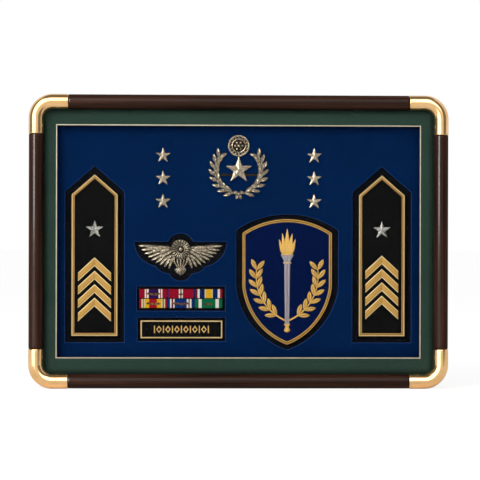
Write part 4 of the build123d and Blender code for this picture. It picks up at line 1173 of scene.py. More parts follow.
LAUREL = (0.02, 0.24, 0.4, 0.48, 0.5, 0.44, 0.28, 0.02)
WREATH_RADIUS = 25.5 * MM
WREATH_START = -84
WREATH_SWEEP = 122
WREATH_LEAVES = 8
LEAF_LEAN = 32
BERRY_TURN = 7
WREATH_LEAF = (10.5 * MM, 1.7 * MM, 4.6 * MM)
WREATH_STAR_RADIUS = 15.0 * MM
ROSETTE_RADIUS = 11.9 * MM
ROSETTE_LIFT = 26.0 * MM
BERRY_RADIUS = 1.1 * MM
PETALS = 16
PETAL = (2.7 * MM, 0.9 * MM, 1.9 * MM)
TIE_TAIL = (6.5 * MM, 1.0 * MM, 3.4 * MM)
TIE_LOOP = (6.0 * MM, 1.2 * MM, 4.0 * MM)
KNOT = (1.6 * MM, 1.2 * MM, 1.5 * MM)

low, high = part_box("wreath_badge")
ROSETTE_Z = high.z - MIDDLE - ROSETTE_RADIUS
WREATH_Z = ROSETTE_Z - ROSETTE_LIFT
TIE_Z = WREATH_Z - WREATH_RADIUS


def ball():
    """Template of a ball of unit radius."""
    shape = bmesh.new()
    bmesh.ops.create_uvsphere(shape, u_segments=10, v_segments=6, radius=1.0)
    return shape


def line_frames(points, seat):
    """Frames along a line of (x, z) points, with the direction across it."""
    frames = []
    for index, (x, z) in enumerate(points):
        before, after = points[max(0, index - 1)], points[min(len(points) - 1, index + 1)]
        heading = Vector((after[0] - before[0], 0, after[1] - before[1])).normalized()
        frames.append((case_point(x, z, seat), Vector((-heading.z, 0, heading.x))))
    return frames


def ribbon_bar(points, width, height, seat):
    """A low bar with rounded shoulders along a line of (x, z) points."""
    half = width / 2
    outline = [
        (-half, 0), (-half, -0.5 * height), (-0.6 * half, -height), (0.6 * half, -height),
        (half, -0.5 * height), (half, 0),
    ]
    return swept(line_frames(points, seat), [outline] * len(points))


def tapered_bar(points, widths, height, seat, groove=0.0):
    """A padded bar along a line of (x, z) points, with its own width at each."""
    sections = []
    for width in widths:
        half, rise = width / 2, height * min(1.0, width / (2 * height))
        right = [(0.2 * half, -rise), (0.72 * half, -rise), (half, -0.4 * rise), (half, 0)]
        left = [(-across, back) for across, back in reversed(right)]
        sections.append([*left, (0, -(1 - groove) * rise), *right])
    return swept(line_frames(points, seat), sections)


def band(outline, width, height, seat, back):
    """A closed band inside an outline given counter-clockwise, rounded on top: its mitred corners keep its
    width."""
    shoulder, brow = seat - height * 0.6, seat - height * 0.92
    profile = [
        (0, back), (0, shoulder), (-0.14 * width, brow), (-0.5 * width, seat - height * 1.07),
        (-0.86 * width, brow), (-width, shoulder), (-width, back),
    ]
    frames = ring_frames(outline, 0.0)
    return swept(frames, [profile] * len(frames), ring=True)


leaf_places, berry_places = [], []
for index in range(WREATH_LEAVES):
    angle = WREATH_START + WREATH_SWEEP * (index + 0.6) / WREATH_LEAVES
    for mirror in (1, -1):
        root = turned([(WREATH_RADIUS, 0)], angle)[0]
        root_x, root_z = mirror * root[0], root[1] + WREATH_Z
        for lean in (-LEAF_LEAN, LEAF_LEAN):
            heading = angle + 90 + lean
            place = case_point(root_x, root_z, MAT_FACE - 0.5 * MM)
            leaf_places.append((place, heading if mirror > 0 else 180 - heading, WREATH_LEAF))
        berry = turned([(WREATH_RADIUS + 1.2 * MM, 0)], angle + BERRY_TURN)[0]
        place = case_point(mirror * berry[0], berry[1] + WREATH_Z, MAT_FACE - 1.6 * MM)
        berry_places.append((place, 0, (BERRY_RADIUS,) * 3))
laurel = scattered(leaf(LAUREL), leaf_places, ANTIQUE, disorder=0.06, seed=7)
berries = scattered(ball(), berry_places, ANTIQUE, seed=3)
badge = bmesh.new()
for mirror in (1, -1):
    stem = [(mirror * x, z) for x, z in arc((0, WREATH_Z), WREATH_RADIUS, -90, 38, 28)]
    badge = joined((badge, 0), (ribbon_bar(stem, 1.8 * MM, 1.4 * MM, MAT_FACE), 0))
faceted_star(badge, 0, WREATH_Z, MAT_FACE, WREATH_STAR_RADIUS, 2.6 * MM, 2.4 * MM)
rim, well = ROSETTE_RADIUS - 1.1 * MM, ROSETTE_RADIUS * 0.6
post(badge, 0, ROSETTE_Z, MAT_FACE)
post(badge, 0, WREATH_Z, MAT_FACE)
ground = bmesh.new()
ground_face = MAT_FACE - 1.3 * MM
disc(ground, 0, ROSETTE_Z, [(0, ground_face), (rim - 0.5 * MM, ground_face), (rim, MAT_FACE)], steps=48)
rosette_rings = [
    (band(circle(reach + half, 0, ROSETTE_Z, 48), 2 * half, 0.9 * MM, MAT_FACE - 1.2 * MM, MAT_FACE), 0)
    for reach, half in ((well, 0.55 * MM), (rim - 0.35 * MM, 0.75 * MM))
]
beads = []
for count, reach, radius, height in (
    (28, rim + 0.1 * MM, 1.0 * MM, 1.4 * MM),
    (6, 3.9 * MM, 1.35 * MM, 1.4 * MM),
    (1, 0.0, 1.7 * MM, 1.5 * MM),
):
    for step in range(count):
        x, z = turned([(reach, 0)], 360 * step / count, 0, ROSETTE_Z)[0]
        beads.append((case_point(x, z, MAT_FACE - height), 0, (radius,) * 3))
beading = scattered(ball(), beads, ANTIQUE, seed=4)
petal_places = []
for step in range(PETALS):
    turn = 360 * step / PETALS
    x, z = turned([(well + 0.4 * MM, 0)], turn, 0, ROSETTE_Z)[0]
    petal_places.append((case_point(x, z, MAT_FACE - 1.2 * MM), turn, PETAL))
petals = scattered(leaf(LAUREL, groove=0.0), petal_places, ANTIQUE)
strut_up = ribbon_bar([(0, WREATH_Z), (0, ROSETTE_Z)], 2.4 * MM, 0.8 * MM, MAT_FACE)
strut_z = WREATH_Z - WREATH_STAR_RADIUS / 3
strut_across = ribbon_bar([(-WREATH_RADIUS, strut_z), (WREATH_RADIUS, strut_z)], 2.4 * MM, 0.8 * MM, MAT_FACE)
tie_root = case_point(0, TIE_Z, MAT_FACE - 1.2 * MM)
tie_places = [
    (tie_root, turn, size)
    for turn, size in ((-62, TIE_TAIL), (-118, TIE_TAIL), (28, TIE_LOOP), (152, TIE_LOOP))
]
tie = scattered(leaf(LAUREL), tie_places, ANTIQUE, seed=5)
knot = scattered(ball(), [(case_point(0, TIE_Z, MAT_FACE - 1.8 * MM), 0, KNOT)], ANTIQUE)
badge = solid(
    (badge, 0), (laurel, 0), (berries, 0), (beading, 0), (petals, 0), *rosette_rings, (tie, 0), (knot, 0),
    (ground, 1), (strut_up, 1), (strut_across, 1),
)
add_piece("laurel_badge", badge, [ANTIQUE, BLACKENED], ["wreath_badge"], smooth=30)

# ---- Winged badge --------------------------------------------------------------------------------
# A pair of spread wings struck in three layers of feathers, behind a fluted and beaded roundel with a
# small fan below. It stands on the black card in its own opening.

WING_TOP = -4.5 * MM
ROUNDEL_RADIUS = 10.8 * MM
FLUTES = 20
ARC_STEPS = 40
PRIMARY = (0.3, 0.46, 0.5, 0.5, 0.5, 0.49, 0.44, 0.3, 0.03)
FLUTE = (0.12, 0.22, 0.3, 0.38, 0.46, 0.5, 0.3)

low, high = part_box("winged_badge")
WINGED_X = (low.x + high.x) / 2
ROUNDEL_Z = high.z - MIDDLE - ROUNDEL_RADIUS
SPAN = (high.x - low.x) / 2
FLUTE_SIZE = (ROUNDEL_RADIUS - 3.4 * MM, 1.5 * MM, 2.5 * MM)

# Points of the right wing, from the top of its inner end, in shares of the span: its upper edge, and the
# thin web behind its feathers.
RIDGE = (
    (0.13, 0.24), (0.17, 0.14), (0.23, 0.07), (0.32, 0.035), (0.45, 0.032), (0.6, 0.035), (0.75, 0.03),
    (0.9, 0.016),
)
RIDGE_WIDTHS = [part * MM for part in (1.6, 2.6, 3.0, 2.8, 2.4, 2.0, 1.5, 0.7)]
WEB = ((0, 0.1), (0.8, 0.04), (0.58, 0.25), (0.24, 0.45), (0, 0.42))
WEB_THICKNESS = 0.5 * MM
SCROLLS = (  # offset, width above, width below
    (-6.6, 1.7, 1.3), (-3.3, 1.5, 1.1), (0, 1.9, 1.4), (3.3, 1.5, 1.1), (6.6, 1.7, 1.3),
)
SCROLL_LINE = ((1.0, 0.0), (1.06, 0.35), (0.75, 0.72), (0.35, 1.0))


def on_arc(points, share):
    """Point at a share of the way along an arc through three points."""
    steps = three_point_arc(*points, ARC_STEPS) + [points[2]]
    place = share * ARC_STEPS
    index = min(ARC_STEPS - 1, int(place))
    (ax, az), (bx, bz) = steps[index], steps[index + 1]
    return ax + (bx - ax) * (place - index), az + (bz - az) * (place - index)


def wing_point(out, down):
    """Point of the right wing, from the top of its inner end, in shares of the span."""
    return out * SPAN, -down * SPAN


def on_wing(places, mirror):
    """Points of the right wing (1) or the left one (-1) in the case, from shares of the span."""
    points = [wing_point(out, down) for out, down in places]
    return [(WINGED_X + mirror * x, WING_TOP + z) for x, z in points]


FEATHER_ROWS = (  # tips, roots, count, width, height of the seat, crown
    ((wing_point(1, 0), wing_point(0.72, 0.322), wing_point(0.278, 0.544)),
     (wing_point(0.56, 0.02), wing_point(0.42, 0.178), wing_point(0.2, 0.30)), 9, 3.9, 0.2, 1.5),
    ((wing_point(0.80, 0.035), wing_point(0.56, 0.20), wing_point(0.25, 0.40)),
     (wing_point(0.42, 0.04), wing_point(0.32, 0.13), wing_point(0.14, 0.24)), 6, 4.0, 0.9, 1.3),
    ((wing_point(0.62, 0.05), wing_point(0.43, 0.14), wing_point(0.21, 0.27)),
     (wing_point(0.34, 0.04), wing_point(0.27, 0.09), wing_point(0.13, 0.16)), 4, 4.0, 1.6, 1.2),
)
FEATHER_BRASS = antique("feather_brass", srgb(188, 174, 152), srgb(112, 98, 79), srgb(12, 8, 5), 2.6 * MM)
feather_places = []
for tips, roots, count, width, lift, crown in FEATHER_ROWS:
    for index in range(count):
        share = index / (count - 1)
        (tip_x, tip_z), (root_x, root_z) = on_arc(tips, share), on_arc(roots, share)
        length = math.hypot(tip_x - root_x, tip_z - root_z)
        heading = math.degrees(math.atan2(tip_z - root_z, tip_x - root_x))
        depth = CARD_FACE - (lift + 0.04 * index) * MM
        size = (length, crown * MM, width * MM)
        feather_places.append((case_point(WINGED_X + root_x, WING_TOP + root_z, depth), heading, size))
        feather_places.append((case_point(WINGED_X - root_x, WING_TOP + root_z, depth), 180 - heading, size))
feathers = scattered(leaf(PRIMARY, groove=0.12), feather_places, FEATHER_BRASS, disorder=0.012, seed=11)
ridges, web = [], bmesh.new()
for mirror in (1, -1):
    ridges.append((tapered_bar(on_wing(RIDGE, mirror), RIDGE_WIDTHS, 2.8 * MM, CARD_FACE), 0))
    back_row, front_row = [
        [web.verts.new(case_point(x, z, CARD_FACE - height)) for x, z in on_wing(WEB, mirror)]
        for height in (0, WEB_THICKNESS)
    ]
    web.faces.new(back_row)
    web.faces.new(front_row)
    skin(web, (back_row, front_row))
roundel = bmesh.new()
disc(roundel, WINGED_X, ROUNDEL_Z, [
    (0, CARD_FACE - 4.2 * MM), (1.4 * MM, CARD_FACE - 4.1 * MM), (2.0 * MM, CARD_FACE - 3.3 * MM),
    (2.6 * MM, CARD_FACE - 3.2 * MM), (ROUNDEL_RADIUS * 0.55, CARD_FACE - 3.3 * MM),
    (ROUNDEL_RADIUS * 0.8, CARD_FACE - 2.7 * MM), (ROUNDEL_RADIUS * 0.93, CARD_FACE - 1.8 * MM),
    (ROUNDEL_RADIUS * 0.95, CARD_FACE),
], steps=40)
flute_places, pearl_places = [], []
for step in range(FLUTES):
    turn = 360 * (step + 0.5) / FLUTES
    x, z = turned([(2.6 * MM, 0)], turn, WINGED_X, ROUNDEL_Z)[0]
    flute_places.append((case_point(x, z, CARD_FACE - 2.6 * MM), turn, FLUTE_SIZE))
for step in range(2 * FLUTES):
    x, z = turned([(ROUNDEL_RADIUS - 0.75 * MM, 0)], 180 * step / FLUTES, WINGED_X, ROUNDEL_Z)[0]
    pearl_places.append((case_point(x, z, CARD_FACE - 1.9 * MM), 0, (0.72 * MM,) * 3))
fan_z = WING_TOP - 0.578 * SPAN
fan_root = case_point(WINGED_X, fan_z + 5.0 * MM, CARD_FACE - 1.0 * MM)
for turn in (-42, -58, -74, -90, -106, -122, -138):
    flute_places.append((fan_root, turn, (10.5 * MM - abs(turn + 90) * 0.05 * MM, 1.4 * MM, 2.5 * MM)))
flutes = scattered(leaf(FLUTE, groove=0.0), flute_places, FEATHER_BRASS, seed=2)
centre_pearl = case_point(WINGED_X, ROUNDEL_Z, CARD_FACE - 3.3 * MM)
pearl_places.append((centre_pearl, 0, (2.0 * MM, 1.4 * MM, 2.0 * MM)))
pearls = scattered(ball(), pearl_places, FEATHER_BRASS, seed=2)
keystone_line = [(WINGED_X, ROUNDEL_Z - 9 * MM), (WINGED_X, fan_z + 1.5 * MM)]
keystone = ribbon_bar(keystone_line, 9.0 * MM, 1.6 * MM, CARD_FACE)
scroll_top, scroll_end = ROUNDEL_Z - 8.5 * MM, fan_z + 2.5 * MM
scrolls = []
for offset, top_width, low_width in SCROLLS:
    line = [
        (WINGED_X + offset * share * MM, scroll_top + (scroll_end - scroll_top) * down)
        for share, down in SCROLL_LINE
    ]
    widths = [top_width * MM, top_width * MM, (top_width + low_width) / 2 * MM, low_width * MM]
    scrolls.append((tapered_bar(line, widths, 1.6 * MM, CARD_FACE - 1.4 * MM), 0))
for aside in (-20 * MM, 20 * MM):
    post(web, WINGED_X + aside, WING_TOP - 8 * MM, CARD_FACE)
badge = solid(
    (feathers, 0), *ridges, (web, 1), (roundel, 1), (flutes, 0), (pearls, 0), (keystone, 1), *scrolls,
)
add_piece("feathered_badge", badge, [FEATHER_BRASS, BLACKENED], ["winged_badge"], smooth=30)

# ---- Ribbon bars ---------------------------------------------------------------------------------
# Six ribbon bars on a steel rack, three to a row. Each is a length of ribbed silk ribbon wrapped round a
# bar, with woven stripes and, on five of them, small bronze sprigs.

RIBBON_EASE = 0.7 * MM
RIB_PITCH = 0.55 * MM
WARP_PITCH = 0.25 * MM
SPRIG_LEAF = (3.0 * MM, 0.6 * MM, 1.5 * MM)

# Stripes are given by their right-hand ends, and sprigs by their middles, in shares of a ribbon's width.
CRIMSON, SCARLET, MAROON = srgb(130, 11, 33), srgb(142, 20, 28), srgb(96, 20, 40)
WHITE, CREAM, GOLD_SILK = srgb(204, 195, 185), srgb(188, 170, 128), srgb(196, 148, 22)
PURPLE, NAVY, MID_BLUE, GREEN_SILK = srgb(42, 14, 62), srgb(7, 31, 74), srgb(9, 38, 90), srgb(6, 88, 54)
BRONZE_SILK, OLIVE = srgb(86, 58, 36), srgb(86, 94, 50)
STRIPES = (
    ((0.19, CRIMSON), (0.235, WHITE), (0.265, CRIMSON), (0.33, WHITE), (0.69, PURPLE), (0.75, WHITE),
     (0.78, CRIMSON), (0.83, WHITE), (1.0, CRIMSON)),
    ((0.05, MID_BLUE), (0.42, CRIMSON), (0.47, WHITE), (0.52, BRONZE_SILK), (0.565, WHITE), (0.94, CRIMSON),
     (1.0, MID_BLUE)),
    ((0.09, MAROON), (0.17, WHITE), (0.35, NAVY), (0.40, CREAM), (0.61, GOLD_SILK), (0.645, CREAM),
     (0.825, NAVY), (0.91, WHITE), (1.0, CRIMSON)),
    ((0.07, CRIMSON), (0.13, CREAM), (0.16, OLIVE), (0.20, CREAM), (0.35, GOLD_SILK), (0.63, SCARLET),
     (0.79, GOLD_SILK), (0.84, CREAM), (0.88, BRONZE_SILK), (0.93, CREAM), (1.0, CRIMSON)),
    ((0.10, MID_BLUE), (0.155, WHITE), (0.215, MAROON), (0.265, WHITE), (0.71, MID_BLUE), (0.77, WHITE),
     (0.82, MAROON), (0.88, WHITE), (1.0, MID_BLUE)),
    ((0.13, GREEN_SILK), (0.245, WHITE), (0.75, GREEN_SILK), (0.87, WHITE), (1.0, GREEN_SILK)),
)
SPRIGS = (
    (0.32, 0.44, 0.56, 0.68), (0.5,), (), (0.32, 0.44, 0.56, 0.68), (0.26, 0.38, 0.5, 0.62, 0.72),
    (0.42, 0.56),
)


def ribbed(name, left, width, stripes):
    """Ribbed silk ribbon: woven stripes across its width, ribs along it."""
    material, tree, shader = new_material(
        name, Roughness=0.62, Specular_IOR_Level=0.03, Sheen_Weight=0.02, Sheen_Roughness=0.4
    )
    place = add(tree, "ShaderNodeSeparateXYZ", {0: object_place(tree)})
    ramp = add(tree, "ShaderNodeValToRGB", {0: rescale(tree, place.outputs["X"], left, left + width)})
    ramp.color_ramp.interpolation = "CONSTANT"
    ramp.color_ramp.elements.remove(ramp.color_ramp.elements[1])
    ramp.color_ramp.elements[0].color = stripes[0][1]
    for (end, _), (_, colour) in zip(stripes, stripes[1:]):
        ramp.color_ramp.elements.new(end).color = colour
    ribs = maths(tree, "SINE", maths(tree, "MULTIPLY", place.outputs["Z"], math.tau / RIB_PITCH))
    warp = maths(tree, "SINE", maths(tree, "MULTIPLY", place.outputs["X"], math.tau / WARP_PITCH))
    weave = maths(tree, "ADD", ribs, maths(tree, "MULTIPLY", warp, 0.4))
    shade = rescale(tree, weave, -1.4, 1.4, 0.82, 1.08)
    colour = blend_colour(tree, 1.0, ramp.outputs[0], shade, "MULTIPLY")
    feed(tree, shader, {"Base Color": colour, "Normal": bump(tree, weave, 0.4, 0.08 * MM)})
    return material


BRONZE = antique("sprig_bronze", srgb(150, 110, 74), srgb(104, 72, 46), srgb(20, 12, 8), 0.8 * MM)
for number, (stripes, sprigs) in enumerate(zip(STRIPES, SPRIGS), start=1):
    low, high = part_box(f"ribbon_{number}")
    x, z = middle_of(f"ribbon_{number}")
    front, back = node_depths(f"ribbon_{number}")
    silk = ribbed(f"ribbon_silk_{number}", low.x, high.x - low.x, stripes)
    bar = plate([rectangle(high.x - low.x, high.z - low.z, x, z)], front, back, RIBBON_EASE)
    places = []
    for share in sprigs:
        spot_x = low.x + share * (high.x - low.x)
        spot_z = z + 0.6 * MM * math.sin(9 * share)
        for turn in (35, 80, 140):
            places.append((case_point(spot_x, spot_z - 1.2 * MM, front), turn, SPRIG_LEAF))
    parts = [(bar, 0)]
    if places:
        parts.append((scattered(leaf(LAUREL), places, BRONZE, disorder=0.1, seed=number), 1))
    ribbon = joined(*parts)
    add_piece(
        f"silk_ribbon_{number}", ribbon, [silk, BRONZE], [f"ribbon_{number}"], smooth=50
    )

refinish(polished("darkened_steel", srgb(44, 42, 41), srgb(28, 27, 26), 0.45), "ribbon_rack")

# ---- Name plate ----------------------------------------------------------------------------------
# Black cloth tape with an embroidered gold border and a plain row of lozenges between bars, where a name
# would stand.

PLATE_BORDER = 1.35 * MM
MARK_HEIGHT = 8.0 * MM
MARK_STROKE = 1.15 * MM
LOZENGES = 6
THREAD_SHADE_REACH = 1.1 * MM
THREAD_RISE = 0.5 * MM
TAPE_EASE = 0.5 * MM
POST_SETBACK = 20 * MM


def thread_group():
    """Embroidery: fine strands that lean across the cloth, and loose fuzz."""
    tree, given, out = new_group(
        "thread", [("Vector", VECTOR, (0, 0, 0)), ("Pitch", FLOAT, 0.5 * MM), ("Slant", FLOAT, 0.5)],
        [("Strands", FLOAT), ("Fuzz", FLOAT)],
    )
    parts = add(tree, "ShaderNodeSeparateXYZ", {0: given["Vector"]})
    lean = maths(tree, "MULTIPLY", parts.outputs["Z"], given["Slant"])
    wander = maths(tree, "MULTIPLY", noise(tree, given["Vector"], 700.0, 1.0), 0.4 * MM)
    along = maths(tree, "ADD", parts.outputs["X"], maths(tree, "ADD", lean, wander))
    turns = maths(tree, "DIVIDE", maths(tree, "MULTIPLY", along, math.tau), given["Pitch"])
    strands = rescale(tree, maths(tree, "SINE", turns), -1.0, 1.0)
    feed(tree, out, {"Strands": strands, "Fuzz": noise(tree, given["Vector"], 3500.0, 2.0)})
    return tree


THREAD = thread_group()


def threaded(name, light, dark, pitch, slant=0.5, shine=0.35, metallic=0.4):
    """Twisted or laid thread, lighter on each strand, darker between strands, and darkened as painted shade
    in its hollows.
    """
    material, tree, shader = new_material(
        name, Roughness=1 - shine, Metallic=metallic, Specular_IOR_Level=0.35 * shine
    )
    thread = use_group(tree, THREAD, {"Vector": object_place(tree), "Pitch": pitch, "Slant": slant})
    # Painted shade: ambient occlusion darkens the thread's colour in hollows and at its edges.
    hollow = add(tree, "ShaderNodeAmbientOcclusion", {"Distance": THREAD_SHADE_REACH}, only_local=True, samples=6)
    deep = rescale(tree, hollow.outputs["AO"], 0.45, 0.9, 0.25, 1.0)
    tone = maths(tree, "MULTIPLY", rescale(tree, thread["Fuzz"], 0.3, 0.7, 0.85, 1.1), deep)
    colour = blend_colour(tree, 1.0, blend_colour(tree, thread["Strands"], dark, light), tone, "MULTIPLY")
    height = maths(tree, "ADD", thread["Strands"], maths(tree, "MULTIPLY", thread["Fuzz"], 0.4))
    feed(tree, shader, {"Base Color": colour, "Normal": bump(tree, height, 0.5, 0.1 * MM)})
    return material


BLACK_CLOTH = threaded("black_cloth", srgb(16, 17, 16), srgb(8, 8, 8), 0.6 * MM, 1.0, 0.1, 0.0)
PALE_GOLD = threaded("pale_gold_thread", srgb(226, 200, 150), srgb(170, 136, 84), 0.7 * MM, 0.6)
AMBER_GOLD = threaded("amber_gold_thread", srgb(234, 196, 128), srgb(184, 142, 80), 0.6 * MM, 0.6)

plate_x, plate_z = middle_of("name_plate")
plate_width, plate_height = node_size("name_plate")
tape_rim = rectangle(plate_width, plate_height, plate_x, plate_z)
tape_seat = node_depths("name_plate_border")[1]
tape = joined((plate([tape_rim], tape_seat, CARD_FACE, TAPE_EASE), 0))
for spread in (-1, 1):
    post(tape, plate_x + spread * (plate_width - POST_SETBACK) / 2, plate_z, CARD_FACE)
marks = []
pitch = plate_width * 0.66 / (2 * LOZENGES)
half_width, half_height = pitch * 0.62, MARK_HEIGHT / 2
for index in range(2 * LOZENGES + 1):
    x = plate_x + (index - LOZENGES) * pitch
    if index % 2 == 0:
        line = [(x, plate_z - half_height), (x, plate_z + half_height)]
        mark = ribbon_bar(line, MARK_STROKE, THREAD_RISE, tape_seat)
    else:
        lozenge = [
            (x + half_width, plate_z), (x, plate_z + half_height),
            (x - half_width, plate_z), (x, plate_z - half_height),
        ]
        mark = band(lozenge, MARK_STROKE * 0.9, THREAD_RISE, tape_seat, tape_seat)
    marks.append((mark, 1))
tape = solid((tape, 0), *marks)
add_piece("cloth_name_plate", tape, [BLACK_CLOTH, AMBER_GOLD], ["name_plate"], smooth=40)
border = band(tape_rim, PLATE_BORDER, THREAD_RISE, tape_seat, tape_seat)
add_piece("stitched_name_border", border, [PALE_GOLD], ["name_plate_border"], smooth=40)

# ---- Shield patch --------------------------------------------------------------------------------
# Embroidered shield of deep blue twill with a raised gold border, a silver torch with a gold flame, and
# two gold leaf sprays.

SHIELD_BORDER = 3.2 * MM
SHIELD_NARROWING = 0.967
STITCH_PITCH = 1.0 * MM
CORD = 1.35 * MM
STITCH = (CORD * 1.3, 0.9 * MM, STITCH_PITCH * 1.25)
STITCH_LEAN = 48

shield_x, _ = middle_of("shield_patch")
shield_seat = node_depths("shield_border")[1]
BLUE_TWILL = threaded("blue_twill", srgb(3, 20, 64), srgb(1, 12, 46), 0.5 * MM, 1.0, 0.12, 0.0)
shield_rim, *shield_lines = [
    [(shield_x + (x - shield_x) * SHIELD_NARROWING, z) for x, z in shield_outline(grow)]
    for grow in (0, -CORD / 2, CORD / 2 - SHIELD_BORDER)
]
cloth = plate([shield_rim], shield_seat, CARD_FACE, TAPE_EASE)
add_piece("embroidered_shield", cloth, [BLUE_TWILL], ["shield_patch"], smooth=50)


def evenly_along(points, pitch, closed=True):
    """Points and headings in degrees at an even pitch along a line."""
    line = list(points) + ([points[0]] if closed else [])
    spans = [math.dist(a, b) for a, b in zip(line, line[1:])]
    count = round(sum(spans) / pitch)
    pitch = sum(spans) / count
    places = []
    travelled, index = 0.0, 0
    for step in range(count):
        goal = (step + 0.5) * pitch
        while travelled + spans[index] < goal:
            travelled += spans[index]
            index += 1
        share = (goal - travelled) / spans[index]
        (ax, az), (bx, bz) = line[index], line[index + 1]
        place = (ax + (bx - ax) * share, az + (bz - az) * share)
        places.append((place, math.degrees(math.atan2(bz - az, bx - ax))))
    return places


def stitch():
    """Template of one laid stitch of unit length, depth and width, centred, lying along X."""
    sections = []
    for half, rise in ((0.16, 0.35), (0.4, 0.8), (0.5, 1.0), (0.4, 0.8), (0.16, 0.35)):
        right = [(0.6 * half, -0.8 * rise), (half, 0)]
        left = [(-across, back) for across, back in reversed(right)]
        sections.append([*left, (0, -rise), *right])
    return swept([(Vector((index / 4 - 0.5, 0, 0)), UP) for index in range(5)], sections)


GOLD_SATIN = threaded("gold_satin_thread", srgb(250, 206, 118), srgb(176, 128, 56), 0.45 * MM, 0.8, 0.45, 0.5)
GOLD_PAINTED_SHADE = threaded("gold_thread_painted_shade", srgb(120, 80, 32), srgb(76, 48, 18), 0.45 * MM, 0.8, 0.3, 0.2)
# The under band showing between the two cords of stitches is dark thread, a painted shade.
under = band(shield_rim, SHIELD_BORDER, 0.4 * MM, shield_seat, shield_seat)
stitches = [
    (case_point(*place, shield_seat - 0.2 * MM), heading + STITCH_LEAN, STITCH)
    for line in shield_lines for place, heading in evenly_along(line, STITCH_PITCH)
]
rope = solid((scattered(stitch(), stitches, GOLD_SATIN, disorder=0.03, seed=21), 0), (under, 1))
add_piece(
    "stitched_shield_border", rope, [GOLD_SATIN, GOLD_PAINTED_SHADE], ["shield_border"], smooth=45
)

low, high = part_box("shield_charge")
TORCH_FOOT, TORCH_TOP = low.z - MIDDLE, high.z - MIDDLE
TORCH_LENGTH = 83.0 * MM
TORCH_BOWL = TORCH_FOOT + TORCH_LENGTH
TORCH_RISE = 1.1 * MM
SHAFT = (  # height, width
    (TORCH_FOOT + 9 * MM, 4.6 * MM), (TORCH_FOOT + 40 * MM, 5.6 * MM), (TORCH_BOWL - 7 * MM, 6.4 * MM),
    (TORCH_BOWL - 4 * MM, 9.5 * MM), (TORCH_BOWL, 14.0 * MM),
)
GROOVE = ((TORCH_FOOT + 11 * MM, 1.3 * MM), (TORCH_BOWL - 9 * MM, 1.5 * MM))
GRIP = ((TORCH_FOOT + 3 * MM, 3.6 * MM), (TORCH_FOOT + 8 * MM, 4.2 * MM))
KNOPS = (  # height, half width, half height
    (TORCH_FOOT + 2.6 * MM, 3.4 * MM, 2.6 * MM), (TORCH_FOOT + 8.4 * MM, 3.6 * MM, 1.5 * MM),
    (TORCH_BOWL - 8.5 * MM, 4.9 * MM, 1.5 * MM), (TORCH_BOWL + 0.4 * MM, 7.1 * MM, 1.3 * MM),
)
TONGUES = (  # offset, turn, share of the flame's height, width
    (-3.6, 108, 0.60, 5.0), (3.6, 72, 0.60, 5.0), (-1.8, 99, 0.80, 5.6), (1.8, 81, 0.80, 5.6),
    (0, 90, 0.97, 6.2),
)
TONGUE = (0.2, 0.42, 0.5, 0.46, 0.36, 0.26, 0.15, 0.02)
SPRAY_HALF_WIDTH = 36.5 * MM
SPRAY_LEAVES = 7
SPRAY_LEAF = (13 * MM, 1.7 * MM, 5.0 * MM)
STEM_STEPS = 24
SILVER_THREAD = threaded("silver_thread", srgb(186, 178, 182), srgb(116, 108, 116), 0.5 * MM, 0.0, 0.4, 0.5)
SILVER_DARK = threaded("grey_thread", srgb(104, 96, 106), srgb(66, 60, 70), 0.5 * MM, 0.0, 0.3, 0.3)


def upright_bar(stops, height, groove=0.0):
    """A padded bar up the middle of the shield, from its (height, width) stops."""
    line = [(shield_x, z) for z, _ in stops]
    return tapered_bar(line, [width for _, width in stops], height, shield_seat, groove)


shaft = upright_bar(SHAFT, TORCH_RISE, groove=0.5)
groove = upright_bar(GROOVE, 0.75 * MM)
grip = upright_bar(GRIP, 1.0 * MM)
knop_places = [(case_point(shield_x, z, shield_seat), 0, (half, 1.25 * MM, tall)) for z, half, tall in KNOPS]
knops = scattered(ball(), knop_places, GOLD_SATIN)
flame_places = []
for offset, turn, reach, width in TONGUES:
    root = case_point(shield_x + offset * MM, TORCH_BOWL + 0.6 * MM, shield_seat)
    flame_places.append((root, turn, ((TORCH_TOP - TORCH_BOWL) * reach, 1.2 * MM, width * MM)))
flame = scattered(leaf(TONGUE, groove=0.3), flame_places, GOLD_SATIN, seed=5)
foot = (0, TORCH_FOOT + TORCH_LENGTH * 0.145)
belly = (SPRAY_HALF_WIDTH * 0.712, foot[1] + TORCH_LENGTH * 0.265)
shoulder = (SPRAY_HALF_WIDTH * 0.89, TORCH_BOWL - TORCH_LENGTH * 0.169)
stem = three_point_arc(foot, belly, shoulder, STEM_STEPS) + [shoulder]
stem_widths = [1.9 * MM - 0.9 * MM * step / STEM_STEPS for step in range(STEM_STEPS + 1)]
spray_places = []
charge = [(shaft, 0), (groove, 1), (knops, 2), (grip, 2), (flame, 2)]
for mirror in (1, -1):
    path = [(shield_x + mirror * x, z) for x, z in stem]
    charge.append((tapered_bar(path, stem_widths, 0.9 * MM, shield_seat), 2))
    places = evenly_along(path, 0.5 * MM, closed=False)
    for index in range(SPRAY_LEAVES):
        (x, z), heading = places[int(len(places) * (index + 1.4) / (SPRAY_LEAVES + 0.6)) - 1]
        for lean in (-34, 34):
            spray_places.append((case_point(x, z, shield_seat), heading + lean, SPRAY_LEAF))
sprays = scattered(leaf(LAUREL, groove=0.55), spray_places, GOLD_SATIN, disorder=0.03, seed=8)
charge = solid(*charge, (sprays, 2))
threads = [SILVER_THREAD, SILVER_DARK, GOLD_SATIN]
add_piece("embroidered_torch", charge, threads, ["shield_charge"], smooth=50)

# ---- Shoulder boards -----------------------------------------------------------------------------
# Two stiff boards covered in black cloth. Each carries a gold braid round its edge, four woven gold
# chevrons and a silver star.

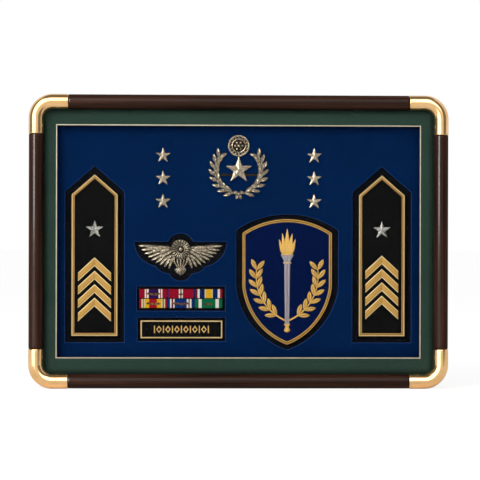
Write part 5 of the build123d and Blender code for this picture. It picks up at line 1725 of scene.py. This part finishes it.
BOARD_MARGIN = 1.5 * MM
BRAID_WIDTH = 3.2 * MM
# The outer cord is the braid's gold; the inner cord and the band under it are a darker copy of it, painted
# shade.
BRAID_CORDS = (  # inset, width, height, finish
    (0, 0.5 * BRAID_WIDTH, 1.0 * MM, 0), (0.58 * BRAID_WIDTH, 0.42 * BRAID_WIDTH, 1.0 * MM, 1),
    (0.2 * MM, BRAID_WIDTH - 0.4 * MM, 0.4 * MM, 1),
)
CHEVRON_COUNT = 4
CHEVRON_TOP = {"left": -17.3 * MM, "right": -14.7 * MM}
CHEVRON_PITCH = 14.3 * MM
CHEVRON_HALF_WIDTH = 17.6 * MM
CHEVRON_DROP = 16.3 * MM
CHEVRON_BAND = 8.9 * MM
BOARD_STAR_RADIUS = 10.2 * MM
BOARD_STAR_PLATE = 1.0 * MM
BOARD_STAR_RISE = 2.2 * MM
BOARD_STAR_Z = 12.6 * MM
BOARD_EASE = 0.9 * MM
CHEVRON_HEIGHT = 0.95 * MM
# Across a chevron's band, from its upper edge: place and height, as shares. Its rims are laid thread,
# painted paler as a highlight.
CHEVRON_SECTION = (
    (0.0, 0.0), (0.0, 0.55), (0.09, 0.95), (0.16, 0.8), (0.24, 1.0), (0.5, 1.05), (0.76, 1.0), (0.84, 0.8),
    (0.91, 0.95), (1.0, 0.55), (1.0, 0.0),
)
CHEVRON_RIM = 0.12

BRAID_GOLD = threaded("braid_gold", srgb(232, 204, 146), srgb(176, 142, 88), 0.6 * MM, 1.0, 0.35, 0.35)
BRAID_GOLD_SHADED = threaded("braid_gold_painted_shade", srgb(206, 158, 88), srgb(140, 98, 46), 0.6 * MM, 1.0, 0.35, 0.35)
CHEVRON_GOLD = threaded("chevron_gold", srgb(216, 172, 92), srgb(140, 98, 42), 0.8 * MM, -0.75, 0.4, 0.4)
RIM_GOLD_HIGHLIGHT = threaded("rim_gold_painted_highlight", srgb(255, 236, 190), srgb(220, 190, 134), 0.8 * MM, 0.75, 0.4, 0.4)
STAR_SILVER = antique("star_silver", srgb(206, 203, 194), srgb(150, 147, 138), srgb(28, 26, 24), 1.2 * MM)


def chevron(x, top, seat):
    """One bent band with its apex upwards, rounded on top and creased in the middle."""
    frames, sections = [], []
    for out, lift in ((-1, 0.9), (-0.97, 1.0), (-0.05, 1.0), (0, 0.45), (0.05, 1.0), (0.97, 1.0), (1, 0.9)):
        z = top - CHEVRON_DROP * abs(out)
        frames.append((case_point(x + out * CHEVRON_HALF_WIDTH, z, seat), -UP))
        height = CHEVRON_HEIGHT * lift
        sections.append([(a * CHEVRON_BAND, -b * height) for a, b in CHEVRON_SECTION])
    shape = swept(frames, sections)
    for face in shape.faces:
        middle = face.calc_center_median() - case_point(x, top)
        share = (-middle.z - CHEVRON_DROP * abs(middle.x) / CHEVRON_HALF_WIDTH) / CHEVRON_BAND
        face.material_index = int(not CHEVRON_RIM < share < 1 - CHEVRON_RIM)
    return shape


for side in ("left", "right"):
    board_x, _ = middle_of(f"board_braid_{side}")
    seat = node_depths(f"board_braid_{side}")[1]
    board = plate([board_outline(side, BOARD_MARGIN)], seat, CARD_FACE, BOARD_EASE)
    add_piece(
        f"cloth_board_{side}", board, [BLACK_CLOTH], [f"shoulder_board_{side}"], smooth=50
    )
    cords = [
        (band(board_outline(side, -inset), width, height, seat, seat), finish)
        for inset, width, height, finish in BRAID_CORDS
    ]
    braid = solid(*cords)
    golds = [BRAID_GOLD, BRAID_GOLD_SHADED]
    add_piece(f"woven_braid_{side}", braid, golds, [f"board_braid_{side}"], smooth=40)
    tops = [CHEVRON_TOP[side] - row * CHEVRON_PITCH for row in range(CHEVRON_COUNT)]
    bands = solid(*[(chevron(board_x, top, seat), None) for top in tops])
    golds = [CHEVRON_GOLD, RIM_GOLD_HIGHLIGHT]
    add_piece(f"woven_chevrons_{side}", bands, golds, [f"chevrons_{side}"], smooth=40)
    star = bmesh.new()
    faceted_star(star, board_x, BOARD_STAR_Z, seat, BOARD_STAR_RADIUS, BOARD_STAR_PLATE, BOARD_STAR_RISE)
    star = solid((star, 0))
    finish = [STAR_SILVER]
    add_piece(f"struck_board_star_{side}", star, finish, [f"board_star_{side}"], smooth=20)

# ---- Back panel and clutches ---------------------------------------------------------------------
# A painted hardboard panel closes the back. The clutches of the badge pins sit in pockets of the foam
# behind the card.

hardboard = board_stock("painted_hardboard", srgb(26, 24, 23), srgb(34, 31, 29), 900.0, 0.75, 0.12 * MM)
refinish(hardboard, "back_panel")
refinish(polished("clutch_brass", srgb(222, 184, 116), srgb(176, 136, 78), 0.24), "pin_clutches")

# ---- Turn buttons --------------------------------------------------------------------------------
# Six flat pear-shaped brass buttons, each turning on a pan-head steel screw in the back of a rail. Their
# tips lap over the back panel and hold it in.

BUTTON_ROUND = 4.0 * MM
BUTTON_TIP = 2.6 * MM
BUTTON_REACH = 12.0 * MM
BUTTON_HOLE = 1.48 * MM
BUTTON_EASE = 0.35 * MM
PAN_HEAD = 2.9 * MM
PAN_HEAD_HEIGHT = 1.4 * MM
PAN_SHANK = 1.4 * MM
PAN_LENGTH = 9.0 * MM
SHANK_START = 0.5 * MM
INWARD = {1: -90, 2: -90, 3: 90, 4: 90, 5: 0, 6: 180}  # where each tip points, in degrees from +X

BUTTON_BRASS = polished("button_brass", srgb(216, 178, 108), srgb(170, 132, 74), 0.28)
STEEL = polished("plated_steel", srgb(206, 202, 192), srgb(176, 170, 158), 0.26)


def pear():
    """Outline of a turn button along +X, counter-clockwise."""
    lean = math.degrees(math.acos((BUTTON_ROUND - BUTTON_TIP) / BUTTON_REACH))
    tip = arc((BUTTON_REACH, 0), BUTTON_TIP, -lean, lean, 14)
    return arc((0, 0), BUTTON_ROUND, lean, 360 - lean, 24) + tip


def button_pivot(number):
    """Axis of a turn button, from the middle of the case."""
    low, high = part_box(f"turn_button_{number}")
    inset = turned([(BUTTON_ROUND, 0)], INWARD[number])[0]
    middle_x, middle_z = middle_of(f"turn_button_{number}")
    if abs(inset[0]) > abs(inset[1]):
        return (low.x if inset[0] > 0 else high.x) + inset[0], middle_z
    return middle_x, (low.z if inset[1] > 0 else high.z) - MIDDLE + inset[1]


def driven(x, z, top, head, shank):
    """A pan-head screw driven in from behind, with the top of its head at a depth. Head and shank are each
    a radius, the thickness of the flat front, and a length."""
    head_radius, head_cap, head_height = head
    shank_radius, shank_cap, length = shank
    fixing = screw(head_radius, 0.0, head_cap, head_radius * 0.97, head_height)
    core = screw(shank_radius, 0.0, shank_cap, shank_radius, length)
    core.transform(Matrix.Translation((0, SHANK_START, 0)))
    fixing = joined((fixing, 0), (core, 0))
    fixing.transform(Matrix.Translation(case_point(x, z, top)) @ Matrix.Rotation(math.pi, 4, "Z"))
    return fixing


pan_screws = []
for number in INWARD:
    x, z = button_pivot(number)
    front, back = node_depths(f"turn_button_{number}")
    outline = turned(pear(), INWARD[number], x, z)
    button = plate([outline, circle(BUTTON_HOLE, x, z)], front, back, BUTTON_EASE)
    add_piece(
        f"brass_button_{number}", button, [BUTTON_BRASS], [f"turn_button_{number}"],
        body=f"button_{number}",
    )
    top = node_depths("button_screws")[1]
    head = (PAN_HEAD, PAN_HEAD_HEIGHT * 0.5, PAN_HEAD_HEIGHT)
    pan_screws.append((driven(x, z, top, head, (PAN_SHANK, 0.4 * MM, top - DEPTH + PAN_LENGTH)), 0))
add_piece("pan_head_screws", solid(*pan_screws), [STEEL], ["button_screws"])

# ---- Hanging straps and rings --------------------------------------------------------------------
# Two strap hangers of plated steel, each held by two screws. The strap is rolled round the bar of a
# D-ring, which swings up to take the wall hook.

STRAP_WIDTH = 7.0 * MM
STRAP_LENGTH = 24.0 * MM
STRAP_THICKNESS = 1.0 * MM
WIRE_RADIUS = 0.9 * MM
EYE_RADIUS = WIRE_RADIUS + 0.08 * MM
RING_ARM = 4.0 * MM
RING_HALF = STRAP_WIDTH / 2 + 0.3 * MM + WIRE_RADIUS
RING_DEPTH = DEPTH + STRAP_THICKNESS + 0.4 * MM + WIRE_RADIUS
RING_BEND = 1.0 * MM
RING_BEND_STEPS = 6
STRAP_DROPS = (13.5 * MM, 19.5 * MM)
STRAP_SCREW_HEAD = 2.0 * MM
STRAP_SCREW_RADIUS = 1.1 * MM
STRAP_SCREW_LENGTH = 8.0 * MM

RING_STEEL = polished("ring_steel", srgb(214, 210, 200), srgb(184, 178, 166), 0.2)


def wire(points, radius):
    """Round wire along a closed line of points."""
    curve = bpy.data.curves.new("wire", "CURVE")
    curve.dimensions = "3D"
    line = curve.splines.new("POLY")
    line.points.add(len(points) - 1)
    for point, place in zip(line.points, points):
        point.co = (*place, 1)
    line.use_cyclic_u = True
    curve.bevel_depth = radius
    curve.bevel_resolution = 4
    holder = bpy.data.objects.new("wire", curve)
    mesh = bpy.data.meshes.new_from_object(holder)
    bpy.data.objects.remove(holder)
    return mesh


strap_screws = []
for side in ("left", "right"):
    x, _ = middle_of(f"hanger_strap_{side}")
    low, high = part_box(f"hanger_ring_{side}")
    axis_z = high.z - MIDDLE - WIRE_RADIUS
    foot_z = axis_z - STRAP_LENGTH + STRAP_WIDTH / 2
    half = STRAP_WIDTH / 2
    outline = [(x + half, axis_z), (x - half, axis_z)] + arc((x, foot_z), half, 180, 360, 20)
    holes = [circle(STRAP_SCREW_RADIUS, x, axis_z - drop) for drop in STRAP_DROPS]
    eye = flat([circle(EYE_RADIUS + STRAP_THICKNESS), circle(EYE_RADIUS)], STRAP_WIDTH, 0.15 * MM)
    beside = Matrix.Translation(case_point(x - half, axis_z, RING_DEPTH))
    eye.transform(beside @ Matrix.Rotation(math.radians(-90), 4, "Z"))
    leaf_plate = plate([outline, *holes], DEPTH, DEPTH + STRAP_THICKNESS, 0.15 * MM)
    strap = joined((leaf_plate, 0), (eye, 0))
    add_piece(f"steel_strap_{side}", strap, [STEEL], [f"hanger_strap_{side}"])
    bend = [
        (RING_HALF - RING_BEND + RING_BEND * math.sin(angle), -RING_BEND + RING_BEND * math.cos(angle))
        for angle in [math.pi / 2 * step / RING_BEND_STEPS for step in range(RING_BEND_STEPS + 1)]
    ]
    bow = arc((0, -RING_ARM), RING_HALF, 0, -180, 28)
    path = bend + bow + [(-a, b) for a, b in reversed(bend)]
    ring = wire([case_point(x + a, axis_z + b, RING_DEPTH) for a, b in path], WIRE_RADIUS)
    add_piece(
        f"steel_ring_{side}", ring, [RING_STEEL], [f"hanger_ring_{side}"], body=f"ring_{side}"
    )
    top = node_depths("hanger_screws")[1]
    head = (STRAP_SCREW_HEAD, 0.55 * MM, top - DEPTH - STRAP_THICKNESS)
    shank = (STRAP_SCREW_RADIUS, 0.3 * MM, top - DEPTH + STRAP_SCREW_LENGTH - SHANK_START)
    strap_screws += [(driven(x, axis_z - drop, top, head, shank), 0) for drop in STRAP_DROPS]
add_piece("strap_screws", solid(*strap_screws), [STEEL], ["hanger_screws"])

# ---- Wall bumpers --------------------------------------------------------------------------------
# Two self-adhesive rubber buttons low on the back keep the case off the wall.

BUMPER_RADIUS = 4.5 * MM
rubber, tree, shader = new_material("black_rubber", Roughness=0.7, Specular_IOR_Level=0.3)
smudges = use_group(tree, HANDLING, {"Smudge Size": 400.0})["Smudges"]
feed(tree, shader, {"Base Color": blend_colour(tree, smudges, srgb(20, 20, 20), srgb(42, 41, 40))})
bumpers = bmesh.new()
low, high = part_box("wall_bumpers")
for x in (low.x + BUMPER_RADIUS, high.x - BUMPER_RADIUS):
    end = high.y - FRONT
    disc(bumpers, x, middle_of("wall_bumpers")[1], [
        (0, end), (BUMPER_RADIUS - 1.6 * MM, end - 0.05 * MM), (BUMPER_RADIUS - 0.7 * MM, end - 0.5 * MM),
        (BUMPER_RADIUS - 0.15 * MM, end - 1.4 * MM), (BUMPER_RADIUS, end - 2.6 * MM), (BUMPER_RADIUS, DEPTH),
    ])
add_piece("rubber_bumpers", solid((bumpers, 0)), [rubber], ["wall_bumpers"])
